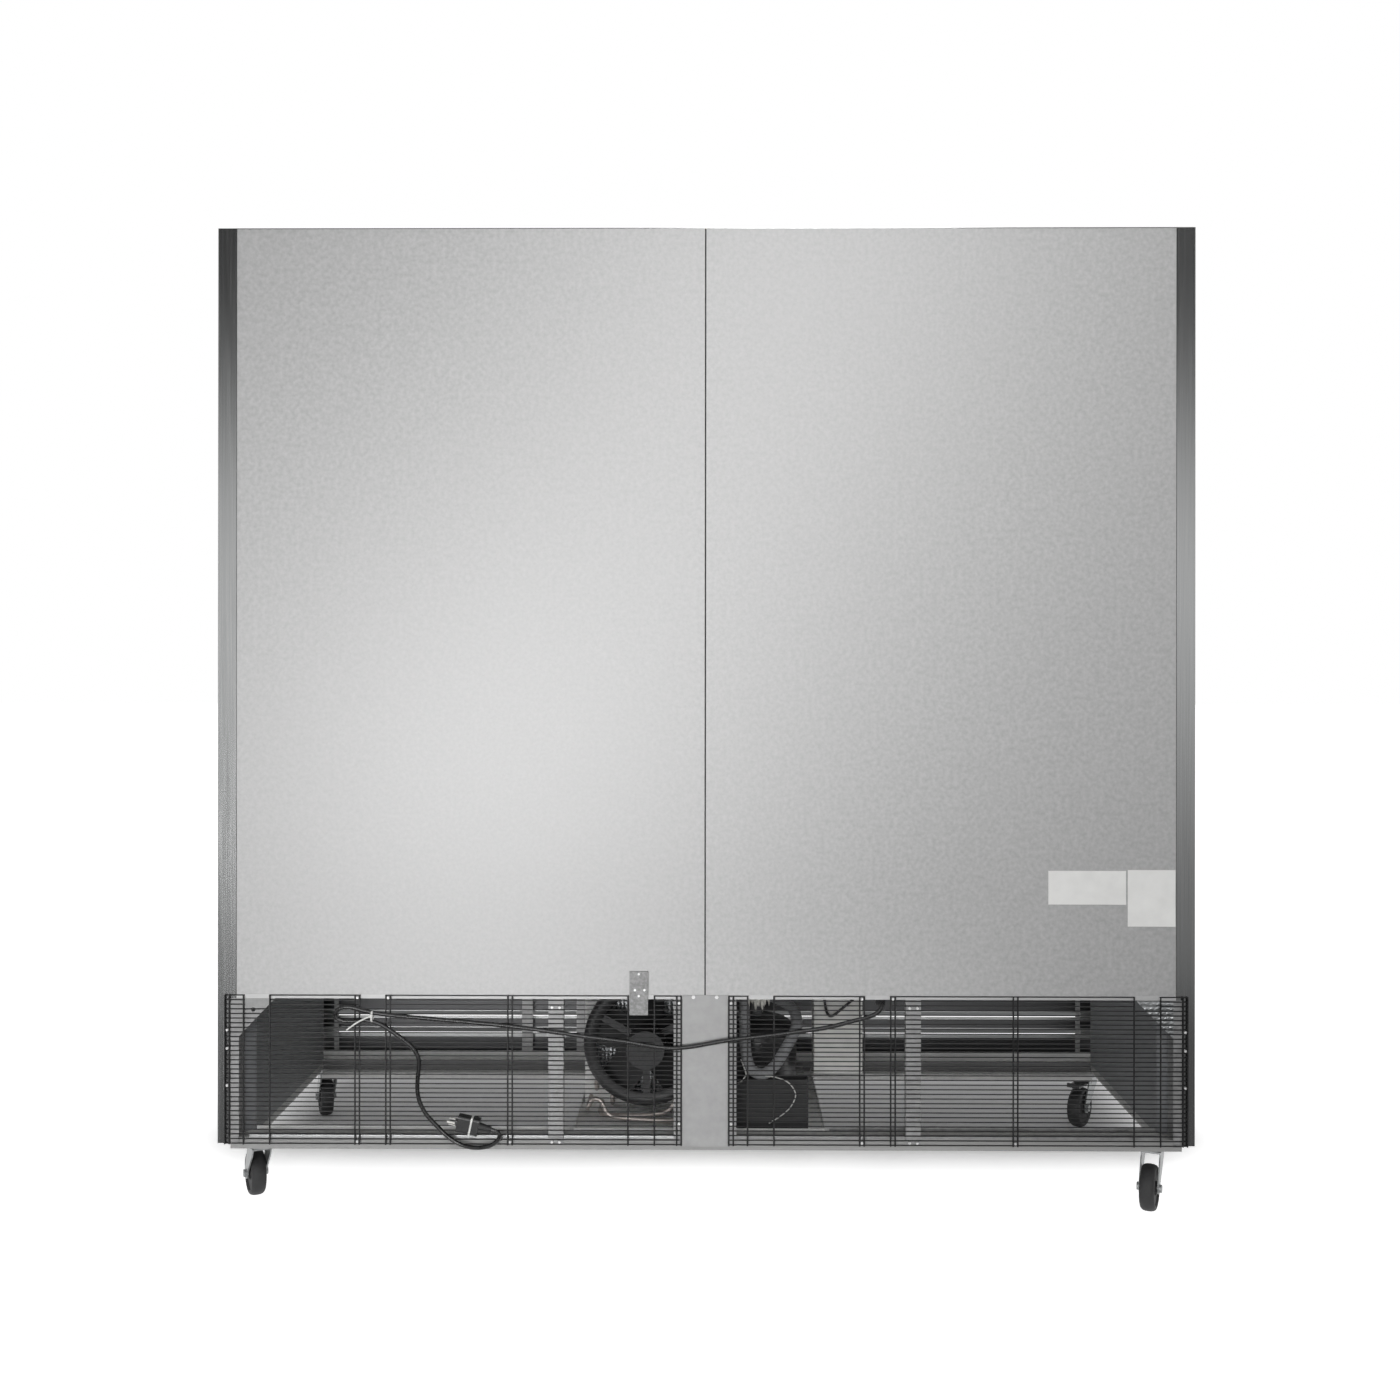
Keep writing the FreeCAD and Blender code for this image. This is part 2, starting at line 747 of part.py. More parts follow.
def screws():
    """Hexagon heads that hold the guards, the struts and the centre plate."""
    pair, notch = num("dim.wire_pair"), num("dim.notch_width")
    second, width = num("dim.notch_second"), num(GUARD_WIDTH)
    outside = num(f"{BACK} + dim.post_skin + dim.row_wire + dim.screw_proud")
    rail, hem, flange = num(RAIL_BACK), num(HEM_FACE), num(BACK)
    post = num(f"{BACK} + dim.post_skin")
    across = num("dim.screw")
    heads = []

    def head(x, seat, row):
        height = guard_row_height(row)
        heads.append(bar(FreeCAD.Vector(x, seat, height), FreeCAD.Vector(x, outside, height), across))

    lowest = num("dim.guard_rows") - 1.5
    for start in (num(GUARD_OUTER), -num("dim.guard_inner")):
        outer = start - pair / 2 if start > 0 else start - width + pair / 2
        inner = start - width + pair / 2 if start > 0 else start - pair / 2
        for row in (7.5, 11.5, 19.5):
            head(outer, flange, row)
        head(inner, post, 1.5)
        head(inner, post, lowest - 4)
        head(start - second + pair / 2, hem, 0.5)
        head(start - second + pair / 2, rail, lowest)
        head(start - second - notch - pair / 2, hem, 0.5)
        head(start - num("dim.guard_middle") - pair / 2, rail, lowest)
    for place in (num("dim.strut_right"), num("dim.strut_left")):
        for aside in (-0.25, 0.25):
            head(place + aside * num("dim.strut_width"), flange, 2.5)
            head(place + aside * num("dim.strut_width"), flange, lowest)
    plate_face = num(f"{BACK} + dim.post_skin + dim.plate_skin")
    for sign in (-1, 1):
        foot = FreeCAD.Vector(sign * num("dim.plate_screw_spread / 2"), plate_face, num(PLATE_SCREW_HEIGHT))
        heads.append(bar(foot, foot + FreeCAD.Vector(0, num("dim.screw_proud"), 0), num("dim.plate_screw")))
    node(feature("screw_heads", Part.makeCompound(heads)), "screws")


# Condensing unit

def behind(setback):
    """A place a given distance in front of the cabinet's rear plane."""
    return f"({BACK} - {setback})"


def tray():
    """A sheet on the runners with a lip along both sides and the rear."""
    across = ("dim.tray_left", "dim.tray_right")
    depth = (behind("dim.tray_setback - dim.tray_depth"), behind("dim.tray_setback"))
    low = "(dim.rail_bottom + dim.runner_height)"
    outer = block("tray_outer", across, depth, (low, f"{low} + dim.tray_lip"))
    hollow = block(
        "tray_hollow",
        ("dim.tray_left + dim.tray_skin", "dim.tray_right - dim.tray_skin"),
        (depth[0], f"{depth[1]} - dim.tray_skin"),
        (TRAY_FLOOR, f"{low} + dim.tray_lip"),
    )
    node(cut("tray_sheet", outer, hollow), "slide_tray")


def compressor():
    """A domed shell on a foot plate with four grommets."""
    shell_low = f"{TRAY_FLOOR} + dim.grommet_height + dim.foot_plate_thick"
    x, y = "dim.compressor_x", behind("dim.compressor_setback")
    shell = new_body("compressor_shell", x=x, y=y, z=shell_low)
    radius, rise = "dim.compressor_dia / 2", "dim.compressor_height"
    corners = [("0", "0"), (radius, "0"), (radius, rise), ("0", rise)]
    turned = turn(shell, outline(shell, "XZ_Plane", corners))
    doc.recompute()
    rounding = shell.newObject("PartDesign::Fillet", "compressor_dome")
    top = [
        f"Edge{index}"
        for index, edge in enumerate(turned.Shape.Edges, start=1)
        if abs(edge.BoundBox.ZMin - num(rise)) < 0.01 and edge.BoundBox.XLength > num(radius)
    ]
    rounding.Base = (turned, top)
    rounding.setExpression("Radius", "dim.compressor_dia / 4")
    half = "dim.foot_plate / 2"
    plate_low = f"{TRAY_FLOOR} + dim.grommet_height"
    plate_x, plate_y = (f"{x} - {half}", f"{x} + {half}"), (f"{y} - {half}", f"{y} + {half}")
    plate = block("foot", plate_x, plate_y, (plate_low, shell_low))
    feet = [
        rod(
            f"grommet_{index}",
            f"{x} + {aside} * dim.grommet_spread / 2",
            f"{y} + {along} * dim.grommet_spread / 2",
            TRAY_FLOOR,
            "z",
            "dim.grommet_dia / 2",
            "dim.grommet_height",
        )
        for index, (aside, along) in enumerate(((-1, -1), (-1, 1), (1, -1), (1, 1)))
    ]
    node(fuse("compressor_all", [shell, plate] + feet), "compressor")


CONDENSER_LOW = f"({TRAY_FLOOR} + dim.condenser_lift)"
CONDENSER_BACK = f"({BACK} - dim.condenser_setback)"
CONDENSER_FRONT = f"({CONDENSER_BACK} - dim.condenser_depth)"


def condenser():
    """A finned block between two end plates that stand on the tray."""
    low, high = "(dim.unit_x - dim.condenser_width / 2)", "(dim.unit_x + dim.condenser_width / 2)"
    top = f"{CONDENSER_LOW} + dim.condenser_height"
    depth = (CONDENSER_FRONT, CONDENSER_BACK)
    between = (f"{low} + dim.end_plate", f"{high} - dim.end_plate")
    core = block("fin_core", between, depth, (CONDENSER_LOW, top))
    slots = []
    pitch, slot = num("dim.fin_pitch"), num("dim.fin_slot")
    width = num("dim.condenser_width - 2 * dim.end_plate")
    count = int((width - slot) // pitch)
    first = num("dim.unit_x") - (count - 1) * pitch / 2 - slot / 2
    cutter = FreeCAD.Vector(slot, num("dim.fin_slot_depth"), num("dim.condenser_height"))
    for index in range(count):
        for y in (num(CONDENSER_FRONT), num(f"{CONDENSER_BACK} - dim.fin_slot_depth")):
            corner = FreeCAD.Vector(first + index * pitch, y, num(CONDENSER_LOW))
            slots.append(Part.makeBox(cutter.x, cutter.y, cutter.z, corner))
    fins = cut("fins", core, feature("fin_slots", Part.makeCompound(slots)))
    foot = (TRAY_FLOOR, top)
    ends = [
        block("end_low", (low, f"{low} + dim.end_plate"), depth, foot),
        block("end_high", (f"{high} - dim.end_plate", high), depth, foot),
    ]
    node(fuse("condenser_block", [fins] + ends), "condenser")


FAN_REAR = f"({CONDENSER_BACK} + dim.shroud_plate + dim.cowl_length)"


def fan_shroud():
    """A plate over the condenser's rear with a round cowl."""
    low, high = "dim.unit_x - dim.condenser_width / 2", "dim.unit_x + dim.condenser_width / 2"
    plate = block(
        "shroud_sheet",
        (low, high),
        (CONDENSER_BACK, f"{CONDENSER_BACK} + dim.shroud_plate"),
        (TRAY_FLOOR, f"{CONDENSER_LOW} + dim.condenser_height"),
    )
    place = ("dim.unit_x", CONDENSER_BACK, "dim.fan_height")
    length = "dim.shroud_plate + dim.cowl_length"
    cowl = rod("cowl_outer", *place, "y", "dim.cowl_dia / 2", length)
    throat = rod("cowl_throat", *place, "y", "dim.cowl_dia / 2 - dim.cowl_wall", length)
    node(cut("cowl", fuse("cowl_blank", [plate, cowl]), throat), "fan_shroud")


def spin(shape, x, z, angle):
    """Turns a shape about a fan's axis, which runs along Y."""
    shape.rotate(FreeCAD.Vector(num(x), 0, num(z)), FreeCAD.Vector(0, 1, 0), angle)
    return shape


def fan_motor():
    """A motor held in the cowl's mouth by three flat arms, with its shaft towards the condenser."""
    x, z = "dim.unit_x", "dim.fan_height"
    along = FreeCAD.Vector(0, 1, 0)
    face = num(f"{FAN_REAR} - dim.motor_arm_thick")
    middle = FreeCAD.Vector(num(x), face, num(z))
    shell = Part.makeCylinder(num("dim.motor_dia / 2"), num("dim.motor_length"), middle, along)
    shaft_length = num("dim.fan_hub_gap + dim.fan_hub_length")
    start = FreeCAD.Vector(num(x), face - shaft_length, num(z))
    solid = shell.fuse(Part.makeCylinder(num("dim.motor_shaft / 2"), shaft_length, start, along))
    reach = num("dim.cowl_dia / 2")
    inner = num("dim.motor_dia / 4")
    for index in range(3):
        width = num("dim.motor_arm_width")
        corner = FreeCAD.Vector(num(x) - width / 2, num(FAN_REAR), num(z) + inner)
        arm = Part.makeBox(width, num("dim.motor_arm_thick"), reach - inner - 1, corner)
        solid = solid.fuse(spin(arm, x, z, 60 + 120 * index))
    node(feature("motor", solid.removeSplitter()), "fan_motor")


def blade_wheel(x, y, z, outer, hub, length, bore, count, chord, angle):
    """A hub with pitched blades, each a flat leaf cut to the fan's circle."""
    along = FreeCAD.Vector(0, 1, 0)
    middle = FreeCAD.Vector(x, y, z)
    wheel = Part.makeCylinder(hub, length, middle, along)
    round_limit = Part.makeCylinder(outer, 4 * length, FreeCAD.Vector(x, y - 1.5 * length, z), along)
    thick = num("dim.blade_thick")
    for index in range(count):
        corner = FreeCAD.Vector(x - chord / 2, y + length / 2 - thick / 2, z + hub / 2)
        leaf = Part.makeBox(chord, thick, outer, corner)
        leaf.rotate(FreeCAD.Vector(x, y + length / 2, z), FreeCAD.Vector(0, 0, 1), angle)
        leaf.rotate(middle, along, 360 / count * index)
        wheel = wheel.fuse(leaf.common(round_limit))
    return wheel.cut(Part.makeCylinder(bore, length, middle, along))


def fan_blade():
    hub_rear = f"{FAN_REAR} - dim.motor_arm_thick - dim.fan_hub_gap"
    shape = blade_wheel(
        num("dim.unit_x"),
        num(f"{hub_rear} - dim.fan_hub_length"),
        num("dim.fan_height"),
        num("dim.blade_dia / 2"),
        num("dim.fan_hub_dia / 2"),
        num("dim.fan_hub_length"),
        num("dim.motor_shaft / 2 + dim.running_clearance"),
        round(num("dim.blade_count")),
        num("dim.blade_chord"),
        num("dim.blade_pitch_angle"),
    )
    node(feature("fan_leaves", shape), "fan_blade")


def tube(name, points, radius, least=0.0):
    """A round tube along straight runs joined by arcs that use 0.45 of the shorter run at each turn."""
    edges = []
    at = points[0]
    radii = []
    for before, corner, after in zip(points, points[1:], points[2:]):
        inward, outward = (before - corner).normalize(), (after - corner).normalize()
        setback = 0.45 * min((corner - before).Length, (after - corner).Length)
        half_turn = (math.pi - inward.getAngle(outward)) / 2
        bend = setback / math.tan(half_turn)
        radii.append(bend)
        start, end = corner + inward * setback, corner + outward * setback
        bisector = (inward + outward).normalize()
        middle = corner + bisector * (bend / math.cos(half_turn) - bend)
        edges.append(Part.LineSegment(at, start).toShape())
        edges.append(Part.Arc(start, middle, end).toShape())
        at = end
    edges.append(Part.LineSegment(at, points[-1]).toShape())
    path = Part.Wire(edges)
    section = Part.Wire([Part.Circle(points[0], points[1] - points[0], radius).toShape()])
    solid = path.makePipeShell([section], True, False)
    share = solid.Volume / (math.pi * radius ** 2 * path.Length)
    print(name, "length", round(path.Length), "volume share", round(share, 4))
    print(name, "radii", [round(bend) for bend in radii])
    return solid


def refrigerant_lines():
    """A discharge line with a loop beside the fan, a liquid line along the tray and two return bends."""
    radius = num("dim.line_dia / 2")
    low = num(TRAY_FLOOR) + radius
    shell = num("dim.compressor_x + dim.compressor_dia / 2")
    rear = num(behind("dim.compressor_setback"))
    plate = num("dim.unit_x + dim.condenser_width / 2")
    inlet = num(f"{CONDENSER_BACK} + dim.shroud_plate")
    place = FreeCAD.Vector
    top = num("dim.cabinet_floor")
    discharge = [
        place(shell, rear, low + 44),
        place(shell + 26, rear, low + 44),
        place(shell + 48, rear + 42, low + 38),
        place(shell + 60, rear + 92, low + 16),
        place(shell + 96, rear + 112, low + 4),
        place(shell + 160, rear + 112, low + 6),
        place(plate - 62, rear + 104, low + 12),
        place(plate - 48, rear + 96, low + 44),
        place(plate - 30, rear + 96, low + 50),
        place(plate - 18, rear + 84, low + 26),
        place(plate - 14, rear + 56, low + 14),
        place(plate - 14, inlet, low + 14),
    ]
    liquid = [
        place(plate - 40, inlet, low + 2),
        place(plate - 40, rear + 44, low + 2),
        place(plate - 70, rear + 68, low + 3),
        place(shell + 151, rear + 70, low + 4),
        place(shell + 107, rear + 70, low + 12),
        place(shell + 89, rear + 70, low + 40),
        place(shell + 87, rear + 72, low + 102),
        place(shell + 87, rear + 72, top),
    ]
    lines = [tube("discharge line", discharge, radius), tube("liquid line", liquid, radius)]
    out, down = place(0, num("dim.bend_reach"), 0), place(0, 0, -num("dim.bend_spread"))
    for leg in (place(plate - 28, inlet, low + 57), place(plate - 64, inlet, low + 25)):
        lines.append(tube("return bend", [leg, leg + out, leg + out + down, leg + down], radius))
    node(feature("lines", Part.makeCompound(lines)), "copper_lines")


def suction_tube():
    """The insulated return tube that hangs in a bend below the cabinet."""
    y = num(BACK)
    place = FreeCAD.Vector
    ceiling = num("dim.cabinet_floor")
    crown = num(f"{TRAY_FLOOR} + dim.grommet_height + dim.foot_plate_thick + dim.compressor_height")
    axis, depth = num("dim.compressor_x"), num(behind("dim.compressor_setback"))
    points = [
        place(-84, y - 64, ceiling),
        place(-84, y - 64, ceiling - 70),
        place(-87, y - 65, ceiling - 128),
        place(-96, y - 66, ceiling - 165),
        place(-124, y - 66, ceiling - 178),
        place(-150, y - 66, ceiling - 158),
        place(-178, y - 68, ceiling - 112),
        place(-200, y - 86, ceiling - 76),
        place(-196, y - 132, ceiling - 50),
        place(axis - 44, depth + 52, crown + 52),
        place(axis, depth, crown + 50),
        place(axis, depth, crown),
    ]
    node(feature("suction", tube("suction tube", points, num("dim.suction_dia / 2"))), "suction_tube")


def control_box():
    span = ("dim.control_left", "dim.control_right")
    back = behind("dim.control_setback")
    rise = ("dim.control_bottom", "dim.cabinet_floor")
    body = block("control_body", span, (f"{back} - dim.control_depth", f"{back} - dim.control_lid"), rise)
    lid = block(
        "control_cover",
        ("dim.control_left - dim.control_lid", "dim.control_right + dim.control_lid"),
        (f"{back} - dim.control_lid", back),
        ("dim.control_bottom - dim.control_lid", "dim.cabinet_floor"),
    )
    node(fuse("control", [body, lid]), "control_box")


def drain_pan():
    """An open pan that stands on the tray."""
    back = behind("dim.pan_setback")
    front = f"{back} - dim.pan_depth"
    top = f"{TRAY_FLOOR} + dim.pan_height"
    outer = block("pan_outer", ("dim.pan_left", "dim.pan_right"), (front, back), (TRAY_FLOOR, top))
    hollow = block(
        "pan_hollow",
        ("dim.pan_left + dim.pan_wall", "dim.pan_right - dim.pan_wall"),
        (f"{front} + dim.pan_wall", f"{back} - dim.pan_wall"),
        (f"{TRAY_FLOOR} + dim.pan_wall", top),
    )
    node(cut("pan_shell", outer, hollow), "drain_pan")


# Front grille

def front_grille():
    """A shallow pan with slots, each under a hood that slopes out and down from its upper edge."""
    front = f"{FRONT} - dim.grille_depth"
    across = (f"-{HALF}", HALF)
    skin = "dim.grille_skin"
    top = "dim.cabinet_floor - dim.apron_height"
    rise = ("dim.grille_bottom", top)
    outer = block("grille_outer", across, (front, FRONT), rise)
    hollow = block(
        "grille_hollow",
        (f"-{HALF} + {skin}", f"{HALF} - {skin}"),
        (f"{front} + {skin}", FRONT),
        (f"dim.grille_bottom + {skin}", f"{top} - {skin}"),
    )
    half = num(f"{HALF} - dim.louvre_inset")
    slot, sheet = num("dim.louvre_slot"), num(skin)
    face = num(front)
    lip = face - num("dim.louvre_reach")
    place = FreeCAD.Vector
    slots, hoods = [], []
    for index in range(round(num("dim.louvre_count"))):
        low = num("dim.louvre_first") + index * num("dim.louvre_pitch") - slot / 2
        slots.append(Part.makeBox(2 * half, 2 * sheet, slot, place(-half, face - sheet / 2, low)))
        root, tip = low + slot, low + slot - num("dim.louvre_drop")
        corners = [(face + sheet / 2, root), (lip, tip), (lip, tip + sheet), (face + sheet / 2, root + sheet)]
        loop = [place(-half, y, z) for y, z in corners + corners[:1]]
        hoods.append(Part.Face(Part.makePolygon(loop)).extrude(place(2 * half, 0, 0)))
    pan = cut("grille_pan", outer, hollow)
    slotted = cut("grille_slotted", pan, feature("slots", Part.makeCompound(slots)))
    node(fuse("grille", [slotted, feature("hoods", Part.makeCompound(hoods))]), "front_grille")


# Casters

CUP_LOW = "(dim.rail_bottom - dim.caster_plate_thick - dim.caster_cup_height)"
CROWN_TOP = f"({CUP_LOW} - dim.caster_gap)"
CROWN_LOW = f"({CROWN_TOP} - dim.crown_thick)"
AXLE_HEIGHT = "(dim.wheel_dia / 2)"
LEG_INNER = "(dim.wheel_width / 2 + dim.wheel_gap)"
LEG_OUTER = f"({LEG_INNER} + dim.fork_leg)"
PEDAL_HEIGHT = f"({CROWN_LOW} - dim.pedal_drop)"

CASTERS = [
    ("rear_right", CASTER_X, "dim.caster_rear_setback"),
    ("rear_left", f"-{CASTER_X}", "dim.caster_rear_setback"),
    ("front_right", CASTER_X, "dim.caster_front_setback"),
    ("front_left", f"-{CASTER_X}", "dim.caster_front_setback"),
]


def caster_plate(name, x, setback):
    """The fixed top plate with its race cup and the king pin that the fork turns on."""
    y = behind(setback)
    low = "dim.rail_bottom - dim.caster_plate_thick"
    plate = block(
        f"plate_{name}",
        (f"{x} - dim.caster_plate_width / 2", f"{x} + dim.caster_plate_width / 2"),
        (f"{y} - dim.caster_plate_length / 2", f"{y} + dim.caster_plate_length / 2"),
        (low, "dim.rail_bottom"),
    )
    cup = rod(f"cup_{name}", x, y, CUP_LOW, "z", "dim.caster_cup_dia / 2", "dim.caster_cup_height")
    head_top = f"{CROWN_LOW} - dim.caster_gap"
    pin = rod(f"king_pin_{name}", x, y, head_top, "z", "dim.king_pin_dia / 2", f"{CUP_LOW} - ({head_top})")
    head_low = f"{head_top} - dim.king_head_height"
    head = rod(f"king_head_{name}", x, y, head_low, "z", "dim.king_head_dia / 2", "dim.king_head_height")
    return fuse(f"caster_plate_{name}", [plate, cup, pin, head])


def stand(piece, name, x, setback):
    """Turns a caster's piece to its heading about the king pin."""
    piece.Placement = FreeCAD.Placement(
        vec(x, behind(setback), "0"),
        FreeCAD.Rotation(FreeCAD.Vector(0, 0, 1), num(f"dim.heading_{name}")),
    )
    return piece


def fork(name, x, setback, braked):
    """Two legs bent down from a crown, with the axle bolt through them; the wheel trails along local +Y."""
    body = new_body(f"fork_{name}_legs")
    half = "dim.crown_length / 2"
    boss = "dim.axle_boss"
    corners = [
        (f"-{half}", CROWN_LOW),
        (f"-{half}", CROWN_TOP),
        (half, CROWN_TOP),
        (f"{half} + 3", f"{CROWN_LOW} - 6"),
        (f"dim.trail + {boss}", f"{AXLE_HEIGHT} + {boss} / 2"),
        (f"dim.trail + {boss} * 0.8", f"{AXLE_HEIGHT} - {boss} * 0.7"),
        (f"dim.trail", f"{AXLE_HEIGHT} - {boss}"),
        (f"dim.trail - {boss} * 0.8", f"{AXLE_HEIGHT} - {boss} * 0.7"),
        (f"dim.trail - {boss} * 1.3", f"{AXLE_HEIGHT} + {boss} / 2"),
        (f"-{half} + 10", f"{CROWN_LOW} - 16"),
    ]
    pad(body, outline(body, "YZ_Plane", corners), f"2 * {LEG_OUTER}", midplane=True)
    gap = [
        (f"-{LEG_INNER}", "0"),
        (LEG_INNER, "0"),
        (LEG_INNER, CROWN_LOW),
        (f"-{LEG_INNER}", CROWN_LOW),
    ]
    pocket(body, outline(body, "XZ_Plane", gap), "8 * dim.trail", midplane=True)
    bore = circle(body, "XY_Plane", "0", "0", "dim.king_pin_dia / 2 + dim.running_clearance")
    pocket(body, bore, f"2 * {CROWN_TOP} + 1", midplane=True)
    if braked:
        radius = "dim.pedal_pin_dia / 2 + dim.running_clearance"
        pivot = circle(body, "YZ_Plane", "dim.pedal_pivot", PEDAL_HEIGHT, radius)
        pocket(body, pivot, f"4 * {LEG_OUTER}", midplane=True)
    axle = circle(body, "YZ_Plane", "dim.trail", AXLE_HEIGHT, "dim.axle_dia / 2")
    pad(body, axle, f"2 * {LEG_OUTER}", midplane=True)
    heads = []
    for side, sign in SIDES:
        start = LEG_OUTER if sign > 0 else f"-{LEG_OUTER} - dim.axle_head"
        place = (start, "dim.trail", AXLE_HEIGHT)
        heads.append(rod(f"axle_{name}_{side}", *place, "x", "dim.axle_head_dia / 2", "dim.axle_head"))
    return stand(node(fuse(f"fork_{name}_bolted", [body] + heads), f"fork_{name}"), name, x, setback)


def wheel(name, x, setback):
    """A rounded tread with dished faces and a hub, turned about its axle."""
    body = new_body(f"wheel_{name}_turned")
    outer, half = "dim.wheel_dia / 2", "dim.wheel_width / 2"
    bore = "dim.axle_dia / 2 + dim.running_clearance"
    rim, hub = f"{outer} - dim.wheel_rim", "dim.wheel_hub_dia / 2"
    inner = f"{half} - dim.wheel_dish"
    right = [
        (bore, half),
        (hub, half),
        (hub, inner),
        (rim, inner),
        (rim, half),
        (f"{outer} - dim.wheel_round", half),
        (f"{outer} - dim.wheel_round * 0.3", f"{half} - dim.wheel_round * 0.3"),
        (outer, f"{half} - dim.wheel_round"),
    ]
    left = [(radius, f"-({place})") for radius, place in reversed(right)]
    turn(body, outline(body, "XZ_Plane", right + left))
    node(body, f"wheel_{name}")
    heading = FreeCAD.Rotation(FreeCAD.Vector(0, 0, 1), num(f"dim.heading_{name}"))
    across = FreeCAD.Rotation(FreeCAD.Vector(0, 1, 0), 90)
    middle = vec(x, behind(setback), "0") + heading.multVec(vec("0", "dim.trail", AXLE_HEIGHT))
    body.Placement = FreeCAD.Placement(middle, heading.multiply(across))


def pedal(name, x, setback):
    """A foot lever on a pin through the fork's legs, reaching back over the wheel."""
    y, z = "dim.pedal_pivot", PEDAL_HEIGHT
    lever = block(
        f"lever_{name}",
        ("-dim.pedal_width / 2", "dim.pedal_width / 2"),
        (y, f"{y} + dim.pedal_length"),
        (f"{z} - dim.pedal_thick / 2", f"{z} + dim.pedal_thick / 2"),
    )
    toe = block(
        f"toe_{name}",
        ("-dim.pedal_width / 2", "dim.pedal_width / 2"),
        (f"{y} + dim.pedal_length - dim.pedal_thick", f"{y} + dim.pedal_length"),
        (f"{z} - dim.pedal_thick / 2", f"{z} + dim.pedal_thick * 2"),
    )
    pin = rod(f"pedal_pin_{name}", f"-{LEG_OUTER}", y, z, "x", "dim.pedal_pin_dia / 2", f"2 * {LEG_OUTER}")
    return stand(node(fuse(f"pedal_{name}_all", [lever, toe, pin]), f"brake_{name}"), name, x, setback)


def casters():
    plates = [caster_plate(*place) for place in CASTERS]
    node(group("caster_plate_set", plates), "caster_plates")
    for name, x, setback in CASTERS:
        braked = name.startswith("front")
        fork(name, x, setback, braked)
        wheel(name, x, setback)
        if braked:
            pedal(name, x, setback)


# Doors

DOORS = [("left", f"-{DOOR_PITCH}", -1), ("middle", "0", -1), ("right", DOOR_PITCH, 1)]
PIN_Y = f"({DOOR_FRONT} + dim.hinge_setback)"


def hinge_x(centre, hand):
    """Place of a door's hinge pins: hand is the side of the door that they are on."""
    return f"({centre} + {hand} * ({DOOR_WIDTH} / 2 - dim.hinge_inset))"


def door(name, centre, hand):
    """An outer pan with a recessed pull, filled by the inner panel, and the gasket on its back."""
    half = f"{DOOR_WIDTH} / 2"

    def ring(inset):
        x = (f"{centre} - {half} + {inset}", f"{centre} + {half} - {inset}")
        return x, (f"{DOOR_BOTTOM} + {inset}", f"{DOOR_TOP} - {inset}")

    def pin_holes(stem):
        holes = []
        depth = "(dim.hinge_pin_length + dim.hinge_gap)"
        for end, height in (("low", DOOR_BOTTOM), ("high", f"{DOOR_TOP} - {depth}")):
            radius = "dim.hinge_pin_dia / 2 + dim.running_clearance"
            place = (hinge_x(centre, hand), PIN_Y, height)
            holes.append(rod(f"{stem}_{name}_{end}", *place, "z", radius, depth))
        return holes

    pull = f"({centre} - {hand} * ({half} - dim.pull_inset - dim.pull_width / 2))"

    def recess(stem, margin):
        x = (f"{pull} - dim.pull_width / 2 - {margin}", f"{pull} + dim.pull_width / 2 + {margin}")
        middle, reach = "dim.pull_middle", f"dim.pull_height / 2 + {margin}"
        return block(
            f"{stem}_{name}",
            x,
            (DOOR_FRONT, f"{DOOR_FRONT} + dim.pull_depth + {margin}"),
            (f"{middle} - ({reach})", f"{middle} + ({reach})"),
        )

    x, z = ring("0")
    inner_x, inner_z = ring("dim.door_skin")
    slab = block(f"slab_{name}", x, (DOOR_FRONT, DOOR_BACK), z)
    void = block(f"void_{name}", inner_x, (f"{DOOR_FRONT} + dim.door_skin", DOOR_BACK), inner_z)
    cup = recess("cup", "dim.door_skin")
    pan = fuse(f"pan_{name}_cup", [cut(f"pan_{name}", slab, void), cup])
    openings = group(f"pan_{name}_openings", [recess("grip", "0")] + pin_holes("pan_hole"))
    node(cut(f"door_{name}_pan", pan, openings), f"door_{name}")

    core = block(f"core_{name}", inner_x, (f"{DOOR_FRONT} + dim.door_skin", DOOR_BACK), inner_z)
    plug_x, plug_z = ring("dim.plug_inset")
    plug = block(f"plug_{name}", plug_x, (DOOR_BACK, f"{DOOR_BACK} + dim.plug_thick"), plug_z)
    relief = group(f"core_{name}_relief", [recess("pocket", "dim.door_skin")] + pin_holes("core_hole"))
    node(cut(f"door_{name}_core", fuse(f"core_{name}_plug", [core, plug]), relief), f"door_{name}_inner")

    seal_x, seal_z = ring("dim.gasket_inset")
    open_x, open_z = ring("(dim.gasket_inset + dim.gasket_width)")
    seal = block(f"seal_{name}", seal_x, (DOOR_BACK, FRONT), seal_z)
    opening = block(f"seal_{name}_opening", open_x, (DOOR_BACK, FRONT), open_z)
    node(cut(f"seal_{name}_ring", seal, opening), f"door_{name}_gasket")


